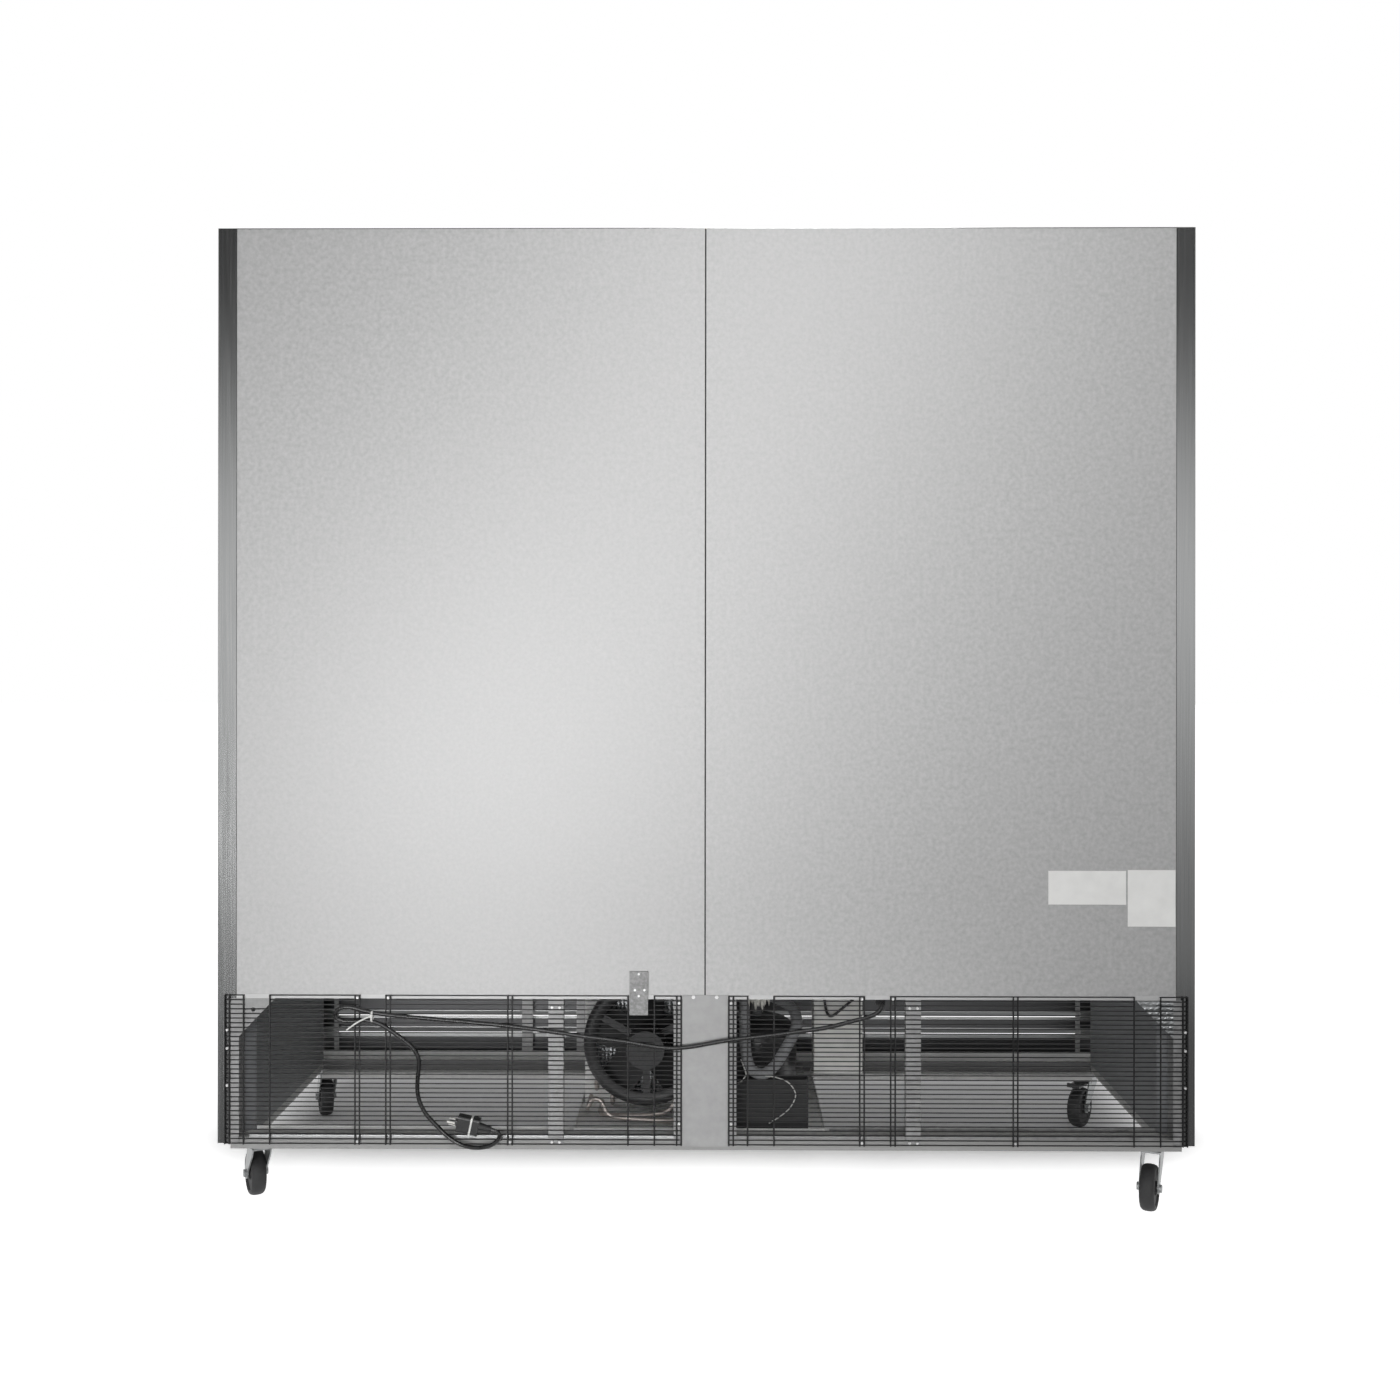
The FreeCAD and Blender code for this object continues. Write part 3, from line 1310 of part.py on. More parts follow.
def hinge_bracket(name, centre, hand, end):
    """An angle on the face frame with a plate over the door's end and a pin into it."""
    x = hinge_x(centre, hand)
    near, far = f"{x} + {hand} * dim.hinge_inset", f"{x} - {hand} * (dim.hinge_width - dim.hinge_inset)"
    span = (far, near) if hand > 0 else (near, far)
    reach = f"{DOOR_FRONT} + dim.hinge_setback / 4"
    if end == "high":
        low = f"{DOOR_TOP} + dim.hinge_gap"
        plate_z = (low, f"{low} + dim.hinge_plate")
        leg_z = (low, f"{low} + dim.hinge_leg_height")
        pin_low = f"{DOOR_TOP} - dim.hinge_pin_length"
    else:
        high = f"{DOOR_BOTTOM} - dim.hinge_gap"
        plate_z = (f"{high} - dim.hinge_plate", high)
        leg_z = (f"{high} - dim.hinge_leg_height", high)
        pin_low = high
    plate = block(f"plate_{name}_{end}", span, (reach, FRONT), plate_z)
    leg = block(f"leg_{name}_{end}", span, (f"{FRONT} - dim.hinge_leg", FRONT), leg_z)
    length = "dim.hinge_pin_length + dim.hinge_gap"
    pin = rod(f"pin_{name}_{end}", x, PIN_Y, pin_low, "z", "dim.hinge_pin_dia / 2", length)
    return fuse(f"hinge_{name}_{end}", [plate, leg, pin])


def doors():
    for name, centre, hand in DOORS:
        door(name, centre, hand)
    brackets = [hinge_bracket(*place, end) for place in DOORS for end in ("low", "high")]
    node(group("hinge_set", brackets), "hinge_brackets")


# Inside

def bays():
    """Clear width between the supports of each of the three bays."""
    post = num(f"{DOOR_PITCH} / 2")
    wall = num(f"{INNER} - dim.liner_skin")
    return [(-wall, -post), (-post, post), (post, wall)]


def shelf_height(index):
    """Height of the clips that carry a row of shelves, counted from the lowest row."""
    return num("dim.shelf_first") + index * num("dim.shelf_pitch")


def shelf_row(index):
    """Three wire shelves side by side: close wires from front to back on four cross bars."""
    wire, thick = num("dim.shelf_wire"), num("dim.shelf_bar")
    gap = num("dim.shelf_side_gap")
    front = num(f"{FOAM_FRONT} + dim.shelf_front_gap")
    rear = num(f"{REAR_WALL} - dim.liner_skin - dim.shelf_rear_gap")
    bar_z = shelf_height(index) + thick / 2
    wire_z = bar_z + thick / 2 + wire / 2
    count = round(num("dim.shelf_wire_count"))
    pieces = []
    for low, high in bays():
        left, right = low + gap, high - gap
        for step in range(count):
            x = left + wire + step * (right - left - 2 * wire) / (count - 1)
            pieces.append(bar(FreeCAD.Vector(x, front, wire_z), FreeCAD.Vector(x, rear, wire_z), wire))
        for step in range(4):
            y = front + thick + step * (rear - front - 2 * thick) / 3
            pieces.append(bar(FreeCAD.Vector(left, y, bar_z), FreeCAD.Vector(right, y, bar_z), thick, 30))
    node(feature(f"shelf_row_{index}_wires", Part.makeCompound(pieces)), f"shelf_row_{index + 1}")


def shelf_supports():
    """Upright strips on the walls and behind the mullions, with a clip under each shelf's corners."""
    width, thick = num("dim.support_width"), num("dim.support_thick")
    low = num(f"{SILL} + dim.liner_skin + dim.support_bottom_gap")
    high = num(f"{CEILING} - dim.liner_skin - dim.support_top_gap")
    front = num(FOAM_FRONT)
    rear = num(f"{REAR_WALL} - dim.liner_skin")
    wall = num(f"{INNER} - dim.liner_skin")
    post = num(f"{DOOR_PITCH} / 2")
    clip, reach = num("dim.clip_height"), num("dim.clip_length")
    shelves = [shelf_height(index) for index in range(round(num("dim.shelf_count")))]
    inset = num("dim.shelf_front_gap")
    back_inset = num("dim.shelf_rear_gap")
    strips = []

    def strip(x0, x1, y0, y1, hooks):
        solid = Part.makeBox(x1 - x0, y1 - y0, high - low, FreeCAD.Vector(x0, y0, low))
        for top in shelves:
            for hook_x0, hook_x1, hook_y0, hook_y1 in hooks:
                corner = FreeCAD.Vector(hook_x0, hook_y0, top - clip)
                solid = solid.fuse(Part.makeBox(hook_x1 - hook_x0, hook_y1 - hook_y0, clip, corner))
        strips.append(solid.removeSplitter())

    for sign in (-1, 1):
        x0, x1 = sorted((sign * (wall - thick), sign * wall))
        hook = sorted((sign * (wall - thick - reach), sign * (wall - thick)))
        for y0 in (front + inset, rear - back_inset - width):
            strip(x0, x1, y0, y0 + width, [(*hook, y0, y0 + width)])
        middle = sign * post
        x0, x1 = middle - width / 2, middle + width / 2
        ends = [(x0 - reach, x0), (x1, x1 + reach)]
        place = front + inset
        strip(x0, x1, front, place + thick, [(*span, place - thick, place + thick) for span in ends])
        place = rear - back_inset
        strip(x0, x1, place - thick, rear, [(*span, place - thick, place + thick) for span in ends])
    node(feature("support_strips", Part.makeCompound(strips)), "shelf_supports")


COOLER_TOP = f"({CEILING} - dim.liner_skin)"
COOLER_BACK = f"({REAR_WALL} - dim.liner_skin)"
COOLER_FRONT = f"({COOLER_BACK} - dim.cooler_depth)"
COOLER_FAN = f"({COOLER_TOP} - dim.cooler_height / 2)"


def evaporator():
    """A sheet cover under the ceiling with a round fan mouth and the motor on a bar across it."""
    half, skin = "dim.cooler_width / 2", "dim.cooler_skin"
    low = f"({COOLER_TOP} - dim.cooler_height)"
    outer = block("cooler_outer", (f"-{half}", half), (COOLER_FRONT, COOLER_BACK), (low, COOLER_TOP))
    hollow = block(
        "cooler_hollow",
        (f"-{half} + {skin}", f"{half} - {skin}"),
        (f"{COOLER_FRONT} + {skin}", COOLER_BACK),
        (f"{low} + {skin}", COOLER_TOP),
    )
    mouth = rod("cooler_opening", "0", COOLER_FRONT, COOLER_FAN, "y", "dim.cooler_mouth / 2", skin)
    shell = cut("cooler_cover", cut("cooler_box", outer, hollow), mouth)
    inside = f"({COOLER_FRONT} + {skin})"
    shaft_length = "(dim.fan_hub_length + dim.fan_hub_gap)"
    motor_y = f"{inside} + {shaft_length}"
    arm = block(
        "cooler_arm",
        ("-dim.cooler_arm_width / 2", "dim.cooler_arm_width / 2"),
        (motor_y, f"{motor_y} + dim.motor_arm_thick"),
        (low, COOLER_TOP),
    )
    place = ("0", motor_y, COOLER_FAN)
    motor = rod("cooler_motor", *place, "y", "dim.cooler_motor_dia / 2", "dim.cooler_motor_length")
    shaft = rod("cooler_shaft", "0", inside, COOLER_FAN, "y", "dim.motor_shaft / 2", shaft_length)
    node(fuse("cooler_all", [shell, arm, motor, shaft]), "evaporator_cover")
    shape = blade_wheel(
        0.0,
        num(inside),
        num(COOLER_FAN),
        num("dim.cooler_blade_dia / 2"),
        num("dim.fan_hub_dia / 2"),
        num("dim.fan_hub_length"),
        num("dim.motor_shaft / 2 + dim.running_clearance"),
        round(num("dim.blade_count")),
        num("dim.cooler_blade_chord"),
        num("dim.blade_pitch_angle"),
    )
    node(feature("cooler_leaves", shape), "evaporator_fan")


# Cord

CORD_ROUTE = [
    (-372, -26, 449),
    (-372, -6, 449),
    (-371, 8, 446),
    (-366, 15, 437),
    (-347, 16, 426),
    (-304, 15, 415),
    (-258, 14, 402),
    (-200, 13, 394),
    (-128, 13, 384),
    (-44, 13, 375),
    (22, 13, 362),
    (66, 13, 357),
    (110, 13, 361),
    (168, 13, 372),
    (240, 13, 380),
    (307, 13, 390),
    (395, 13, 402),
    (498, 13, 412),
    (598, 13, 424),
    (672, 14, 432),
    (716, 16, 439),
    (744, 18, 445),
    (766, 20, 443),
    (777, 21, 430),
    (768, 20, 416),
    (744, 18, 413),
    (706, 16, 416),
    (676, 15, 405),
    (643, 14, 382),
    (612, 13, 358),
    (598, 13, 330),
    (604, 13, 290),
    (604, 13, 256),
    (590, 13, 222),
    (562, 13, 192),
    (535, 14, 167),
    (509, 16, 153),
    (480, 20, 149),
    (454, 23, 153),
    (437, 24, 162),
    (428, 24, 174),
    (433, 24, 186),
    (447, 24, 189),
]


def cord():
    """The supply cord from its gland, across the guards to a tied loop, and down to the plug."""
    back = num(BACK)
    points = [FreeCAD.Vector(x, back + y, z) for x, y, z in CORD_ROUTE]
    node(feature("cord_tube", tube("cord", points, num("dim.cord_dia / 2"))), "cord")
    start, end = points[0], points[-1]
    clamp = feature("gland_block", Part.makeBox(
        num("dim.gland_width"),
        num("dim.gland_depth"),
        num("dim.gland_height"),
        FreeCAD.Vector(
            start.x - num("dim.gland_width / 2"),
            start.y - num("dim.gland_depth"),
            num("dim.cabinet_floor - dim.gland_height"),
        ),
    ))
    node(clamp, "gland")
    inward = (end - points[-2]).normalize()
    neck_length, length = num("dim.plug_neck"), num("dim.plug_length")
    neck = Part.makeCone(num("dim.cord_dia / 2 + 2"), num("dim.plug_depth / 2.6"), neck_length)
    width, depth = num("dim.plug_height"), num("dim.plug_depth")
    grip = Part.makeBox(width, depth, length, FreeCAD.Vector(-width / 2, -depth / 2, neck_length))
    long_edges = [edge for edge in grip.Edges if edge.BoundBox.ZLength > length / 2]
    grip = grip.makeFillet(num("dim.plug_depth / 5"), long_edges)
    solid = neck.fuse(grip)
    face = neck_length + length
    for aside in (-0.5, 0.5):
        spread = aside * num("dim.prong_spread")
        corner = FreeCAD.Vector(spread - num("dim.prong_thick / 2"), -num("dim.prong_width / 2"), face)
        prong = Part.makeBox(num("dim.prong_thick"), num("dim.prong_width"), num("dim.prong_length"), corner)
        solid = solid.fuse(prong)
    ground = FreeCAD.Vector(0, num("dim.plug_depth / 3.4"), face)
    solid = solid.fuse(Part.makeCylinder(num("dim.prong_thick * 1.5"), num("dim.prong_length + 3"), ground))
    plug = feature("plug_body", solid.removeSplitter())
    plug.Placement = FreeCAD.Placement(end, FreeCAD.Rotation(FreeCAD.Vector(0, 0, 1), inward))
    node(plug, "plug")


cabinet()
base_frame()
inner_sides()
rear_posts()
corner_strap = f"({INNER_SIDE} - dim.corner_strap_gap - dim.corner_strap_width / 2)"
uprights = [
    strut("right"),
    strut("left"),
    strap("outer_strap", "dim.strap_outer", "dim.strap_width"),
    strap("inner_strap", "dim.strap_inner", "dim.strap_width"),
    strap("corner_strap_right", corner_strap, "dim.corner_strap_width"),
    strap("corner_strap_left", f"-{corner_strap}", "dim.corner_strap_width"),
]
node(group("strut_set", uprights), "struts")
hanger()
guard("right")
guard("left")
screws()
tray()
compressor()
condenser()
fan_shroud()
fan_motor()
fan_blade()
refrigerant_lines()
suction_tube()
control_box()
drain_pan()
front_grille()
casters()
doors()
for shelf in range(round(num("dim.shelf_count"))):
    shelf_row(shelf)
shelf_supports()
evaporator()
cord()
doc.recompute()

for item in doc.Objects:
    if {"Invalid", "Error"} & set(item.State):
        raise RuntimeError(f"{item.Label} is {item.State}")
for piece in nodes:
    if piece.Shape.isNull() or not piece.Shape.isValid():
        raise RuntimeError(f"{piece.Label} has no valid shape")
os.makedirs("parts", exist_ok=True)
for piece in nodes:
    piece.Shape.exportStep(f"parts/{piece.Label}.step")
print(len(nodes), "parts")
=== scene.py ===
import json
import math

import bmesh
import bpy
import numpy as np
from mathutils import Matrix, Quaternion, Vector


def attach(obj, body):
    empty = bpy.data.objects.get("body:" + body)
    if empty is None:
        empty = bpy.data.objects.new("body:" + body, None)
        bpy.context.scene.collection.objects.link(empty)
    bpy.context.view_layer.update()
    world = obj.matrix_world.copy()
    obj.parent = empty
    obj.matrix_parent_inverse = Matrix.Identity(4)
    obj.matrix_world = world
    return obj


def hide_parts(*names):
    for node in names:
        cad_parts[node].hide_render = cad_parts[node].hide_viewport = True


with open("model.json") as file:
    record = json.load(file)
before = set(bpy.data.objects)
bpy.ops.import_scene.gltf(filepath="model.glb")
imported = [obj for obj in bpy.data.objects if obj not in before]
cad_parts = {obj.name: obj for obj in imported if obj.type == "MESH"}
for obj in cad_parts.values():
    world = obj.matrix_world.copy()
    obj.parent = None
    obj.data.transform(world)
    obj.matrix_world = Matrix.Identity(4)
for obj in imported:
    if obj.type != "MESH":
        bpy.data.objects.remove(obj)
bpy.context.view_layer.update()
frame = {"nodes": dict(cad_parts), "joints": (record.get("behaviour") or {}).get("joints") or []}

MM = 0.001

# Places on the CAD part, in millimetres
SHEET_FACE = 407.2
FLANGE_FACE = 407.4
POST_FACE = 408.4
CABINET_FLOOR = 458.0
CABINET_TOP = 2080.8
FLANGE_INNER = 989.2
SIDE_FACE = 1028.5
TOP_WIRE = 465.0
WIRE_STEP = 9.766
RAIL_TOP = 164.0
RAIL_END = 962
RAIL_REAR_WALL = 404.4
RAIL_FRONT_WALL = 348.4
FRONT_RAIL_REAR = -232.6
FRONT_RAIL_FLOOR = 141.0
LOUVRE_FIRST = 207.0
LOUVRE_PITCH = 44.5
GRILLE_REAR = -361.3
HEM_MIDDLE = 462.5
SHROUD_PLATE = 116.4
RAIL_FLOOR = 142.0
RAIL_OUTER_FACE = 405.4
FRONT_RAIL_INSIDE = -335.6
RIVET_FACE = 412.4
PLUG_PRONGS = 531.0
PLUG_HEEL = (447, FLANGE_FACE + 24, 189)
INNER_WALL = 964.6
INNER_WALL_REAR = 345.4
GLAND = (-372, 381.4, 449)
FAN_AXIS = (132.0, 316.0)
COWL_REAR = 197.4


# Colour and nodes


def linear(code):
    """Linear red, green, blue and alpha of an sRGB hex colour."""
    shade = np.array([int(code[place:place + 2], 16) for place in (1, 3, 5)]) / 255
    curve = np.where(shade <= 0.04045, shade / 12.92, ((shade + 0.055) / 1.055) ** 2.4)
    return (*curve.tolist(), 1.0)


def add(tree, kind, inputs=None, **settings):
    """Adds a node with its settings, and sets or links each input that is named."""
    made = tree.nodes.new(kind)
    for name, value in settings.items():
        setattr(made, name, value)
    for name, value in (inputs or {}).items():
        if isinstance(value, bpy.types.NodeSocket):
            tree.links.new(value, made.inputs[name])
        else:
            made.inputs[name].default_value = value
    return made


def finish(name, dark, light, grain, rough, stretch=(1, 1, 1), detail=4.0, relief=0.0, sockets=None):
    """A finish whose colour and roughness wander together over a grain of a stated size in millimetres.

    A noise from 0 to 1 mixes the dark and the light colour and moves the roughness from its first value to
    its second. Stretch lengthens the grain along an axis. The noise lifts the surface by relief millimetres.
    """
    made = bpy.data.materials.new(name)
    made.use_nodes = True
    tree = made.node_tree
    shader = tree.nodes["Principled BSDF"]
    for socket, value in (sockets or {}).items():
        shader.inputs[socket].default_value = value
    place = add(tree, "ShaderNodeTexCoord")
    scale = tuple(1 / (grain * times * MM) for times in stretch)
    spread = add(tree, "ShaderNodeMapping", {"Vector": place.outputs["Object"], "Scale": scale})
    noise = add(
        tree,
        "ShaderNodeTexNoise",
        {"Vector": spread.outputs["Vector"], "Scale": 1.0, "Detail": detail, "Roughness": 0.55},
    )
    level = add(tree, "ShaderNodeMapRange", {"Value": noise.outputs[0], "From Min": 0.3, "From Max": 0.7})
    tone = add(
        tree,
        "ShaderNodeMix",
        {0: level.outputs["Result"], 6: linear(dark), 7: linear(light)},
        data_type="RGBA",
    )
    matt = add(
        tree,
        "ShaderNodeMapRange",
        {"Value": level.outputs["Result"], "To Min": rough[0], "To Max": rough[1]},
    )
    tree.links.new(tone.outputs[2], shader.inputs["Base Color"])
    tree.links.new(matt.outputs["Result"], shader.inputs["Roughness"])
    if relief:
        lift = add(tree, "ShaderNodeBump", {"Height": level.outputs["Result"], "Distance": relief * MM})
        tree.links.new(lift.outputs["Normal"], shader.inputs["Normal"])
    return made


METAL = {"Metallic": 1.0}

# Hot-dip galvanised sheet, skin-passed: a dull even grey with a soft speckle of flattened spangle.
galvanised_sheet = finish(
    "galvanised_sheet", "#acacac", "#bebebe", 9.0, (0.48, 0.56), sockets={"Metallic": 0.7}
)
# Galvanised frame sections: the same zinc, rolled and handled, so the tone wanders more.
galvanised_section = finish(
    "galvanised_section", "#868686", "#9e9e9e", 16.0, (0.4, 0.56), relief=0.02, sockets={"Metallic": 0.6}
)
# Smooth electro-zinc plate over the middle post: the palest and calmest of the sheets.
smooth_zinc_plate = finish(
    "smooth_zinc_plate", "#9a9a9a", "#a4a4a4", 22.0, (0.46, 0.52), sockets={"Metallic": 0.6}
)
# Brushed stainless, number 4: long fine scratches, drawn 2 mm wide so that they show.
brushed_stainless = finish(
    "brushed_stainless", "#a4a5a5", "#b0b1b1", 2.0, (0.16, 0.22), (1, 1, 110), 3.0, sockets=METAL
)
# The doors' stainless: the same brushing, rubbed to a softer sheen.
door_stainless = finish(
    "door_stainless", "#a4a5a5", "#b2b3b3", 2.0, (0.3, 0.4), (1, 1, 110), 3.0, sockets=METAL
)
# Stainless frame and hinge brackets: brushed along their length.
brushed_trim = finish(
    "brushed_trim", "#a0a1a1", "#adaeae", 2.0, (0.3, 0.4), (110, 1, 1), 3.0, sockets=METAL
)
# Zinc-plated pressings of the casters: greyed by use, with a clouded passivation.
clouded_zinc = finish("clouded_zinc", "#858788", "#9ea0a0", 7.0, (0.34, 0.48), sockets={"Metallic": 0.7})
# Mill-finish aluminium fins and blades: pale, slightly streaked by the rolls.
mill_aluminium = finish(
    "mill_aluminium", "#97999b", "#b3b5b6", 5.0, (0.34, 0.48), (1, 1, 6), sockets=METAL
)
# Embossed aluminium liner: a close pebble that scatters what it reflects.
embossed_aluminium = finish(
    "embossed_aluminium", "#b9bbbc", "#cfd0d0", 4.0, (0.32, 0.42), detail=1.0, relief=0.3, sockets=METAL
)
# Drawn copper tube, dulled brown by handling and heat.
dulled_copper = finish("dulled_copper", "#a39b96", "#c4bcb7", 11.0, (0.34, 0.46), sockets={"Metallic": 0.5})
# Dark baked paint on the machine space's inner walls: satin, faintly dusty.
dark_baked_paint = finish("dark_baked_paint", "#76787a", "#868789", 40.0, (0.45, 0.6), relief=0.02)
# Pale enamel on the control box: smooth, slightly yellowed white.
pale_enamel = finish("pale_enamel", "#c6c6c2", "#d0d0cc", 30.0, (0.35, 0.45))
# Black stove enamel on pressed steel: glossy, with the skin's orange peel.
black_enamel = finish(
    "black_enamel", "#1c1c1d", "#29292a", 3.0, (0.26, 0.4), relief=0.03, sockets={"Coat Weight": 0.25}
)
# The fan motor's enamel: the same stoving, greyed by warm dust.
dusty_enamel = finish("dusty_enamel", "#2f2f30", "#404041", 5.0, (0.45, 0.6), relief=0.03)
# Black epoxy on guard wire: a thick, slightly wavy dip coat.
black_epoxy = finish("black_epoxy", "#0c0c0d", "#161617", 4.0, (0.36, 0.5), relief=0.04)
# Moulded black ABS: a fine spark-eroded grain, drawn 1 mm wide so that it shows.
moulded_abs = finish("moulded_abs", "#1b1b1c", "#272728", 1.0, (0.46, 0.6), relief=0.03)
# Closed-cell nitrile foam sleeve: matt mid grey with a skin of small pits.
nitrile_foam = finish("nitrile_foam", "#77787a", "#8d8e8f", 2.5, (0.8, 0.95), relief=0.15)
# Solid rubber tyre: near black, greyed by floor dust.
tyre_rubber = finish("tyre_rubber", "#19191a", "#2b2b2c", 12.0, (0.58, 0.75), relief=0.05)
# Painted steel of the brake pedals, rubbed by shoes.
pedal_paint = finish("pedal_paint", "#19191a", "#353536", 9.0, (0.35, 0.55), relief=0.03)
# Soft vinyl of the magnetic gaskets: mid grey, slightly waxy.
gasket_vinyl = finish("gasket_vinyl", "#66686a", "#717375", 18.0, (0.5, 0.62), relief=0.03)
# Epoxy-coated shelf wire: an off-white, even coat.
shelf_epoxy = finish("shelf_epoxy", "#cfcfcb", "#dcdcd8", 8.0, (0.3, 0.42), relief=0.03)
# Vacuum-formed door liner: smooth pale grey ABS with a slight draw ripple.
formed_liner = finish("formed_liner", "#c9cac9", "#d4d5d3", 60.0, (0.34, 0.44), relief=0.05)
# Poured polyurethane foam: pale straw, open pores.
poured_foam = finish("poured_foam", "#d2c08a", "#e0d09f", 3.0, (0.85, 0.95), relief=0.4)
# PVC flex: black, with the soft gloss of a drawn sheath.
cord_pvc = finish("cord_pvc", "#0b0b0c", "#131314", 14.0, (0.24, 0.32))
# Moulded PVC of the plug: black and satin, with nickelled prongs.
plug_pvc = finish("plug_pvc", "#151516", "#202021", 2.0, (0.3, 0.42), relief=0.03)
# White nylon of the cable ties.
tie_nylon = finish("tie_nylon", "#dededb", "#ebebe8", 5.0, (0.4, 0.5))
# Bare coated label paper: a little brighter than the sheet that it sticks to.
label_paper = finish("label_paper", "#e6e6e4", "#eeeeec", 35.0, (0.55, 0.65))
# Household foil, crumpled by hand: dulled, with bright glints between the creases.
crumpled_foil = finish("crumpled_foil", "#8f9192", "#b4b6b7", 6.0, (0.3, 0.46), sockets=METAL)
# Sprayed sealing foam, torn off by hand: off-white and ragged.
torn_foam = finish("torn_foam", "#bdbcb6", "#d3d2cc", 4.0, (0.8, 0.95), relief=0.8)
# Black butyl mastic pressed into the joints of the sheets.
black_mastic = finish("black_mastic", "#0b0b0c", "#121213", 3.0, (0.6, 0.75), relief=0.05)
# Thin capillary tube in a pale sleeve.
pale_sleeve = finish("pale_sleeve", "#c4c4c1", "#d6d6d3", 6.0, (0.4, 0.5))

# Brushed steel of the front grille, with painted shade on the side that faces the machine.
grille_steel = finish("grille_steel", "#a0a1a1", "#adaeae", 2.0, (0.3, 0.4), (110, 1, 1), 3.0, sockets=METAL)
# The fan's shroud: a black cowl on a plate of bare zinc, which is painted near white as painted light.
shroud_steel = finish("shroud_steel", "#222223", "#303031", 3.0, (0.4, 0.5), relief=0.03)
# Pale tray under the machine: zinc painted near white, a painted light for the little light that reaches it,
# and it scatters nearly all that it is given.
painted_light_zinc = finish("painted_light_zinc", "#f0f0ee", "#f8f8f6", 18.0, (0.55, 0.7), sockets={"Metallic": 0.05})
# Bare zinc of the rails, dulled by dust, so that it scatters more than it mirrors.
dusty_zinc = finish("dusty_zinc", "#acacab", "#c0c0be", 14.0, (0.5, 0.65), sockets={"Metallic": 0.25})
# Rolled edges of the rear rail: clean zinc, burnished by the roll.
rolled_zinc = finish("rolled_zinc", "#a2a3a3", "#b4b5b5", 9.0, (0.36, 0.46), sockets=METAL)
# The hanger's strip: a coarse bright spangle.
spangled_zinc = finish("spangled_zinc", "#747474", "#9e9e9e", 6.0, (0.42, 0.56), sockets={"Metallic": 0.5})
# Screw heads: white zinc, bright from every side.
white_zinc = finish("white_zinc", "#d4d4d4", "#e6e6e6", 3.0, (0.3, 0.4), sockets={"Metallic": 0.3})


# The mix node's kind for each socket, and where it keeps its two values and its result
MIX_PLACES = {"Base Color": ("RGBA", 6, 7, 2), "Roughness": ("FLOAT", 2, 3, 0)}


def band(paint, axis, middle, half, value, socket="Base Color"):
    """Gives a finish another colour or roughness near a place along one axis: within half, in millimetres."""
    kind, before, after, mixed = MIX_PLACES[socket]
    value = linear(value) if kind == "RGBA" else value
    tree = paint.node_tree
    spot = add(tree, "ShaderNodeTexCoord")
    along = add(tree, "ShaderNodeSeparateXYZ", {"Vector": spot.outputs["Object"]})
    inside = add(
        tree,
        "ShaderNodeMath",
        {0: along.outputs[axis], 1: middle * MM, 2: half * MM},
        operation="COMPARE",
    )
    target = tree.nodes["Principled BSDF"].inputs[socket]
    choice = add(
        tree,
        "ShaderNodeMix",
        {0: inside.outputs[0], before: target.links[0].from_socket, after: value},
        data_type=kind,
    )
    tree.links.new(choice.outputs[mixed], target)


# The hem along the back panels' foot is folded over, and the lighter band on it is a painted highlight.
band(galvanised_sheet, "Z", HEM_MIDDLE, 4.5, "#bfbfbf")
# The cabinet's sides: painted shade makes them darker than the flanges that they are folded into, and they
# are duller.
for side in (-SIDE_FACE, SIDE_FACE):
    band(brushed_stainless, "X", side, 0.8, "#8e8f8f")
    band(brushed_stainless, "X", side, 0.8, 0.46, "Roughness")
# The grille's rear side: painted shade, dark grey.
band(grille_steel, "Y", GRILLE_REAR, 0.8, "#505051")
# The two lower louvres' lips: painted light, a lighter grey over the rear side's painted shade.
for row in range(2):
    band(grille_steel, "Z", LOUVRE_FIRST + LOUVRE_PITCH * row, 13.0, "#a8a9a9")
# The shroud's plate: bare zinc painted near white, a painted light for a plate that lies in shade.
band(shroud_steel, "Y", SHROUD_PLATE, 1.3, "#f6f6f4")
# The front rail's rear wall: painted shade, dark grey.
band(dusty_zinc, "Y", FRONT_RAIL_REAR, 0.6, "#606060")
# The rails' floors and the inside of the front rail: painted light, near white.
band(dusty_zinc, "Z", RAIL_FLOOR, 0.6, "#f4f4f2")
band(dusty_zinc, "Y", FRONT_RAIL_INSIDE, 0.6, "#f4f4f2")
# The rear rail's outer face: a darker grey.
band(dusty_zinc, "Y", RAIL_OUTER_FACE, 0.4, "#9a9a99")
# The heads of the hanger's rivets.
band(spangled_zinc, "Y", RIVET_FACE, 0.5, "#efefef")
# The plug's prongs.
band(plug_pvc, "X", PLUG_PRONGS, 9.4, "#e4e3de")

